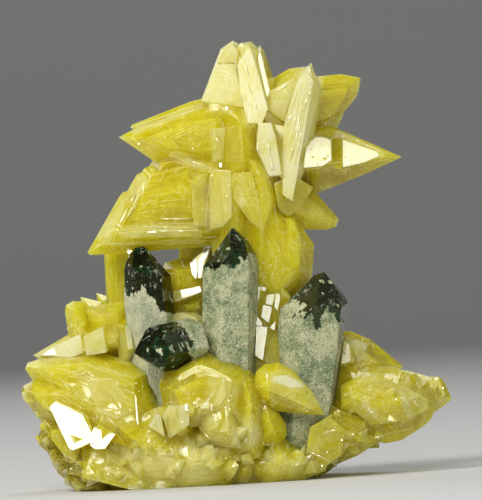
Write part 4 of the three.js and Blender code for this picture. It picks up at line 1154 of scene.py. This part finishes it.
class Nodes:
    """A short way to write a node tree: each call adds a node and returns its first output."""

    def __init__(self, name):
        self.material = bpy.data.materials.new(name)
        self.material.use_nodes = True
        self.tree = self.material.node_tree
        self.shader = self.tree.nodes["Principled BSDF"]
        self.out = self.tree.nodes["Material Output"]

    def add(self, kind, output=0, settings=None, **inputs):
        """Adds a node. An input is named by its name, or by i and its number."""
        node = self.tree.nodes.new(kind)
        for key, value in (settings or {}).items():
            setattr(node, key, value)
        for key, value in inputs.items():
            numbered = key[0] == "i" and key[1:].isdigit()
            self.feed(node.inputs[int(key[1:]) if numbered else key], value)
        return node.outputs[output]

    def feed(self, socket, value):
        if isinstance(value, bpy.types.NodeSocket):
            self.tree.links.new(value, socket)
        else:
            socket.default_value = value

    def shade(self, name, value):
        """Gives an input of the shader a value, or what another node makes."""
        self.feed(self.shader.inputs[name], value)

    def maths(self, how, a, b=0.0, clamp=False):
        return self.add("ShaderNodeMath", settings={"operation": how, "use_clamp": clamp}, i0=a, i1=b)

    def times(self, a, b):
        return self.maths("MULTIPLY", a, b)

    def vector(self, how, a, output=0, **inputs):
        return self.add("ShaderNodeVectorMath", output, {"operation": how}, i0=a, **inputs)

    def noise(self, where, scale, detail=2.0, rough=0.5, distortion=0.0):
        return self.add("ShaderNodeTexNoise", Vector=where, Scale=scale, Detail=detail, Roughness=rough,
                        Distortion=distortion)

    def ramp(self, value, low, high):
        return self.add("ShaderNodeMapRange", i0=value, i1=low, i2=high, i3=0.0, i4=1.0)

    def part(self, value, low, high, strength):
        return self.times(self.ramp(value, low, high), strength)

    def blend(self, share, a, b):
        node = self.tree.nodes.new("ShaderNodeMix")
        node.data_type = "RGBA"
        self.feed(node.inputs[0], share)
        self.feed(node.inputs[6], a)
        self.feed(node.inputs[7], b)
        return node.outputs[2]

    def attribute(self, name):
        return self.add("ShaderNodeAttribute", 2, {"attribute_name": name, "attribute_type": "GEOMETRY"})

    def stretched(self, where, x, y, z=1.0):
        return self.add("ShaderNodeMapping", Vector=where, Scale=(x, y, z))

    def bump(self, height, strength, distance, normal=None):
        below = {} if normal is None else {"Normal": normal}
        return self.add("ShaderNodeBump", Height=height, Strength=strength, Distance=distance, **below)


def colour(red, green, blue):
    """A screen colour, 0 to 255, as the linear colour that shaders take."""
    shares = [value / 255 for value in (red, green, blue)]
    return (*[s / 12.92 if s <= 0.04045 else ((s + 0.055) / 1.055) ** 2.4 for s in shares], 1.0)


def veins(n, where):
    """How cloudy a place is, from the veins near it in the picture, whatever its depth."""
    drop = -BASE_HEIGHT * math.cos(LEAN)
    flat = n.add("ShaderNodeMapping", settings={"vector_type": "TEXTURE"}, Vector=where, Scale=(MM, MM, MM),
                 Rotation=(0.0, LEAN, 0.0), Location=(-MIDDLE_X * MM, 0.0, drop * MM))
    flat = n.vector("MULTIPLY", flat, i1=(1.0, 0.0, 1.0))
    most = 0.0
    for start, end, reach, strength in VEINS:
        foot = Vector((start[0], 0, start[1]))
        along = Vector((end[0], 0, end[1])) - foot
        offset = n.vector("SUBTRACT", flat, i1=foot)
        run = n.vector("DOT_PRODUCT", offset, 1, i1=along / along.length_squared)
        run = n.maths("ADD", run, 0.0, clamp=True)
        near = n.vector("SCALE", along, Scale=run)
        apart_by = n.vector("DISTANCE", offset, 1, i1=near)
        here = n.add("ShaderNodeMapRange", i0=apart_by, i1=reach, i2=reach * 0.35, i3=0.0, i4=strength)
        most = n.maths("MAXIMUM", here, most)
    return most


def sulfur_colour(n, where, grain, clouds, veils):
    """The colour of the sulfur: yellow, and cream where it is cloudy and as painted reflection of the
    overhead light. Also gives the cream's share.
    """
    feathers = n.noise(n.stretched(grain, 1.4, 11.0), 2.6, 4.0, 0.62, 0.9)
    streaks = n.noise(n.stretched(grain, 1.1, 40.0), 1.5, 3.0, 0.6, 0.4)
    blocks = n.add("ShaderNodeTexVoronoi", 1, Vector=n.stretched(grain, 1.3, 4.6), Scale=2.2)
    block = n.add("ShaderNodeSeparateColor", 0, i0=blocks)
    # Thin curvy lines where the clouds are light: cracks, and painted glints.
    cracks_and_glints = n.maths("ABSOLUTE", n.maths("SUBTRACT", n.noise(where, 300.0, 3.0, 0.6, 1.6), 0.5))
    cracks_and_glints = n.times(n.ramp(cracks_and_glints, 0.022, 0.004), n.ramp(clouds, 0.42, 0.6))

    body = n.blend(n.ramp(clouds, 0.35, 0.68), colour(194, 176, 0), colour(222, 210, 34))
    body = n.blend(n.ramp(n.attribute("tone"), -0.5, 0.7), body, colour(212, 198, 16))
    body = n.blend(n.part(block, 0.45, 1.0, 0.25), body, colour(236, 228, 60))
    body = n.blend(n.part(block, 0.4, 0.0, 0.25), body, colour(176, 156, 0))
    # Darker olive where a face is marked deep: deeper yellow, and painted shade on the right point's
    # underside and on the band between its panels.
    body = n.blend(n.times(n.attribute("deep"), 0.85), body, colour(124, 104, 0))
    body = n.blend(n.part(feathers, 0.52, 0.8, 0.35), body, colour(240, 234, 96))
    body = n.blend(n.part(streaks, 0.58, 0.66, 0.25), body, colour(250, 244, 110))
    # These lines lighten the colour towards white: cracks, and painted glints.
    body = n.blend(n.times(cracks_and_glints, 0.5), body, colour(255, 252, 180))
    # The brightest wisps of the veils are lightened: veils inside the crystal, and in part painted glints.
    body = n.blend(n.part(veils, 0.6, 0.78, 0.5), body, colour(248, 244, 160))

    cream = n.blend(n.ramp(clouds, 0.36, 0.7), colour(243, 235, 140), colour(254, 250, 204))
    # White streaks in the cream: painted highlights, for the streaks of light on the pale faces.
    cream = n.blend(n.part(streaks, 0.52, 0.64, 0.8), cream, colour(255, 253, 220))
    cream = n.blend(n.part(streaks, 0.46, 0.36, 0.2), cream, colour(238, 226, 110))
    feathered = n.maths("ADD", n.part(feathers, 0.36, 0.62, 0.7), 0.35)
    # Cream: veins and cloudy sulfur, and on the crown and the right point's upper face painted reflection of
    # the overhead light.
    cream_and_sheen_amount = n.maths("MAXIMUM", n.attribute("pale"), n.times(veins(n, where), feathered))
    mottled = n.ramp(n.noise(where, 260.0, 3.0, 0.6), 0.1, 0.42)
    cream_and_sheen = n.maths("MULTIPLY", cream_and_sheen_amount, mottled, clamp=True)
    return n.blend(cream_and_sheen, body, cream), cream_and_sheen


def broken_relief(n, where):
    """A height in metres that tilts small cells of the surface at random, for broken sulfur."""
    swirl = n.add("ShaderNodeTexNoise", 1, Vector=where, Scale=300.0, Detail=2.0)
    warped = n.vector("ADD", where, i1=n.vector("SCALE", swirl, Scale=0.0016))
    cell = n.add("ShaderNodeTexVoronoi", Vector=warped, Scale=420.0).node
    aside = n.vector("SUBTRACT", warped, i1=cell.outputs["Position"])
    tilt = n.vector("SUBTRACT", cell.outputs["Color"], i1=(0.5, 0.5, 0.5))
    return n.vector("DOT_PRODUCT", aside, 1, i1=tilt)


def sulfur_material():
    n = Nodes("sulfur")
    where = n.add("ShaderNodeTexCoord", 3)
    grain = n.add("ShaderNodeUVMap", settings={"uv_map": "grain"})
    glassy = n.attribute("glassy")
    clouds = n.noise(where, 130.0, 3.0, 0.55, 0.4)
    veils = n.noise(n.stretched(where, 1.0, 1.0, 0.45), 420.0, 4.0, 0.65, 1.2)
    lines = n.noise(n.stretched(grain, 0.8, 34.0), 2.2, 2.0, 0.5, 0.1)
    surface, cream_and_sheen = sulfur_colour(n, where, grain, clouds, veils)

    round_edge = n.add("ShaderNodeBevel", settings={"samples": 4}, Radius=0.12 * MM)
    sharp = n.add("ShaderNodeNewGeometry", 3)
    turned = n.vector("DOT_PRODUCT", round_edge, 1, i1=sharp)
    # Along the edges, where the rounded normal turns from the true one, the colour is lightened: a painted
    # highlight.
    n.shade("Base Color", n.blend(n.part(turned, 0.985, 0.86, 0.45), surface, colour(252, 248, 150)))

    dull = n.maths("SUBTRACT", 1.0, glassy)
    rough = n.maths("ADD", n.part(clouds, 0.3, 0.75, 0.14), 0.08)
    rough = n.maths("ADD", rough, n.times(n.attribute("pale"), 0.04))
    n.shade("Roughness", n.maths("ADD", n.times(rough, dull), 0.03))

    relief = n.ramp(dull, 0.0, 1.0)
    height = n.add("ShaderNodeSeparateXYZ", 2, i0=where)
    low = n.times(n.ramp(height, 0.027, 0.012), relief)
    ridged = n.maths("ADD", n.times(cream_and_sheen, 0.25), 0.12)
    bumped = n.blend(n.ramp(glassy, 0.5, 0.9), round_edge, sharp)
    bumped = n.bump(lines, n.times(relief, ridged), 0.08 * MM, bumped)
    bumped = n.bump(veils, n.times(relief, 0.25), 0.08 * MM, bumped)
    n.shade("Normal", n.bump(broken_relief(n, where), n.times(low, 0.5), 1.0, bumped))

    n.shade("IOR", 1.62)
    n.shade("Subsurface Weight", n.maths("SUBTRACT", 0.9, n.times(cream_and_sheen, 0.5)))
    n.shade("Subsurface Radius", (1.0, 0.94, 0.5))
    n.shade("Subsurface Scale", 11.0 * MM)
    return n.material


def crust_material():
    n = Nodes("quartz_crust")
    where = n.add("ShaderNodeTexCoord", 3)
    patches = n.noise(where, 210.0, 5.0, 0.66, 0.6)
    specks = n.noise(where, 1900.0, 2.0, 0.6)
    sand = n.noise(where, 3400.0, 2.0, 0.5)
    # The crust is lightened on the left crystal: whiter crust, and painted light where the wing above shades
    # it.
    left = n.ramp(n.add("ShaderNodeSeparateXYZ", i0=where), -0.009, -0.014)
    body = n.blend(n.ramp(patches, 0.4, 0.58), colour(112, 132, 84), colour(198, 199, 152))
    body = n.blend(n.part(specks, 0.53, 0.7, 0.8), body, colour(66, 92, 56))
    body = n.blend(n.part(sand, 0.52, 0.7, 0.8), body, colour(240, 237, 206))
    n.shade("Base Color", n.blend(n.times(left, 0.35), body, colour(228, 228, 196)))
    n.shade("Roughness", n.maths("ADD", n.times(specks, 0.35), 0.4))
    n.shade("Normal", n.bump(sand, 0.7, 0.12 * MM, n.bump(specks, 0.6, 0.2 * MM)))
    n.shade("IOR", 1.5)
    return n.material


def clear_material():
    n = Nodes("quartz_clear")
    where = n.add("ShaderNodeTexCoord", 3)
    smoke = n.noise(where, 300.0, 3.0, 0.6, 0.8)
    right = n.ramp(n.add("ShaderNodeSeparateXYZ", i0=where), 0.009, 0.014)
    near_crust = n.ramp(n.attribute("crust"), -3.6, 0.0)
    green = n.times(near_crust, n.ramp(n.noise(where, 170.0, 2.0), 0.44, 0.58))
    # Pale streaks on the clear quartz: frosted scratches, and in part painted reflection streaks.
    streak_noise = n.noise(n.stretched(where, 1.0, 1.0, 0.35), 1300.0, 3.0, 0.7, 0.8)
    frost_and_sheen = n.times(n.ramp(streak_noise, 0.54, 0.62), n.ramp(n.noise(where, 240.0, 2.0), 0.48, 0.6))
    ripples = n.noise(n.stretched(where, 1.0, 1.0, 4.0), 500.0, 3.0, 0.6)
    body = n.blend(n.ramp(smoke, 0.35, 0.7), colour(28, 34, 12), colour(66, 68, 28))
    body = n.blend(n.times(right, 0.28), body, colour(136, 140, 112))
    body = n.blend(n.times(green, 0.8), body, colour(30, 124, 66))
    n.shade("Base Color", n.blend(n.times(frost_and_sheen, 0.85), body, colour(206, 208, 186)))
    n.shade("Transmission Weight", n.maths("SUBTRACT", 0.75, n.times(frost_and_sheen, 0.6)))
    n.shade("Roughness", n.maths("ADD", n.times(smoke, 0.12), 0.03))
    n.shade("Normal", n.bump(ripples, 0.5, 0.16 * MM))
    n.shade("IOR", 1.544)
    n.shade("Specular IOR Level", 0.3)
    n.shade("Specular Tint", (0.75, 0.85, 0.5, 1.0))
    inner = n.add("ShaderNodeVolumeAbsorption", Color=(0.34, 0.46, 0.1, 1.0), Density=400.0)
    n.feed(n.out.inputs["Volume"], inner)
    return n.material


sulfur.data.materials.append(sulfur_material())
crust = crust_material()
clear = clear_material()
for crystal in crystals:
    crystal.data.materials.append(crust)
    crystal.data.materials.append(clear)


# The studio: a pale floor that sweeps up behind, lights, and a camera at the viewing angle of the photograph


def sweep(flat, radius, top, half_width):
    """A floor that runs flat to a round corner and then up. All lengths are in metres."""
    bm = bmesh.new()
    angles = [math.pi / 2 * i / 16 for i in range(1, 17)]
    profile = [(-2.6, 0.0), (flat, 0.0)]
    profile += [(flat + radius * math.sin(a), radius - radius * math.cos(a)) for a in angles]
    profile.append((flat + radius, top))
    rows = [[bm.verts.new((x, y, z)) for x in (-half_width, half_width)] for y, z in profile]
    for near, far in zip(rows, rows[1:]):
        bm.faces.new((near[0], near[1], far[1], far[0])).smooth = True
    floor = new_object("floor", finished_mesh(bm, "floor"))
    n = Nodes("pale_floor")
    n.shade("Base Color", (0.74, 0.74, 0.73, 1.0))
    n.shade("Roughness", 0.6)
    floor.data.materials.append(n.material)


def softbox(name, direction, distance, size, power, tint=(1.0, 1.0, 1.0)):
    """A square light that looks at the middle of the specimen. Distance and size are in metres."""
    light = bpy.data.lights.new(name, "AREA")
    light.shape = "RECTANGLE"
    light.size = size
    light.size_y = size
    light.energy = power
    light.color = tint
    made = new_object(name, light)
    aim = Vector(direction).normalized()
    made.location = place(0, 0, 45) + aim * distance
    made.rotation_mode = "QUATERNION"
    made.rotation_quaternion = aim.to_track_quat("Z", "Y")


def surroundings(brightness):
    world = bpy.data.worlds.new("studio")
    world.use_nodes = True
    background = world.node_tree.nodes["Background"]
    background.inputs[0].default_value = (1.0, 1.0, 1.0, 1.0)
    background.inputs[1].default_value = brightness
    bpy.context.scene.world = world
    bpy.context.scene.view_settings.view_transform = "Standard"


def add_camera():
    """A camera that sees the plane through the specimen's middle as the photograph shows it."""
    optics = bpy.data.cameras.new("camera")
    optics.sensor_width = 36.0
    optics.lens = optics.sensor_width * CAMERA_DISTANCE / (max(PICTURE) * PIXEL)
    optics.clip_start = 0.05
    optics.clip_end = 20.0
    camera = new_object("camera", optics)
    right = (place(1, 0, 0) - place(0, 0, 0)).normalized()
    up = (place(0, 0, 1) - place(0, 0, 0)).normalized()
    back = right.cross(up)
    turn = Matrix((right, up, back)).transposed().to_4x4()
    middle = place((PICTURE[0] / 2 - ORIGIN_PIXEL[0]) * PIXEL, 0, (ORIGIN_PIXEL[1] - PICTURE[1] / 2) * PIXEL)
    camera.matrix_world = Matrix.Translation(middle + back * CAMERA_DISTANCE * MM) @ turn
    bpy.context.scene.camera = camera


sweep(flat=1.4, radius=0.6, top=2.6, half_width=3.0)
softbox("key", KEY, 1.0, 0.36, 6.0, (1.0, 0.99, 0.96))
softbox("front", FRONT, 1.0, 0.28, 1.9)
softbox("overhead", OVERHEAD, 1.0, 0.38, 2.3)
softbox("fill", (0.75, -0.75, 0.2), 1.3, 0.9, 3.1)
softbox("back", (-0.6, 0.7, 0.5), 1.1, 0.6, 2.2)
surroundings(0.08)
add_camera()

bpy.context.view_layer.update()
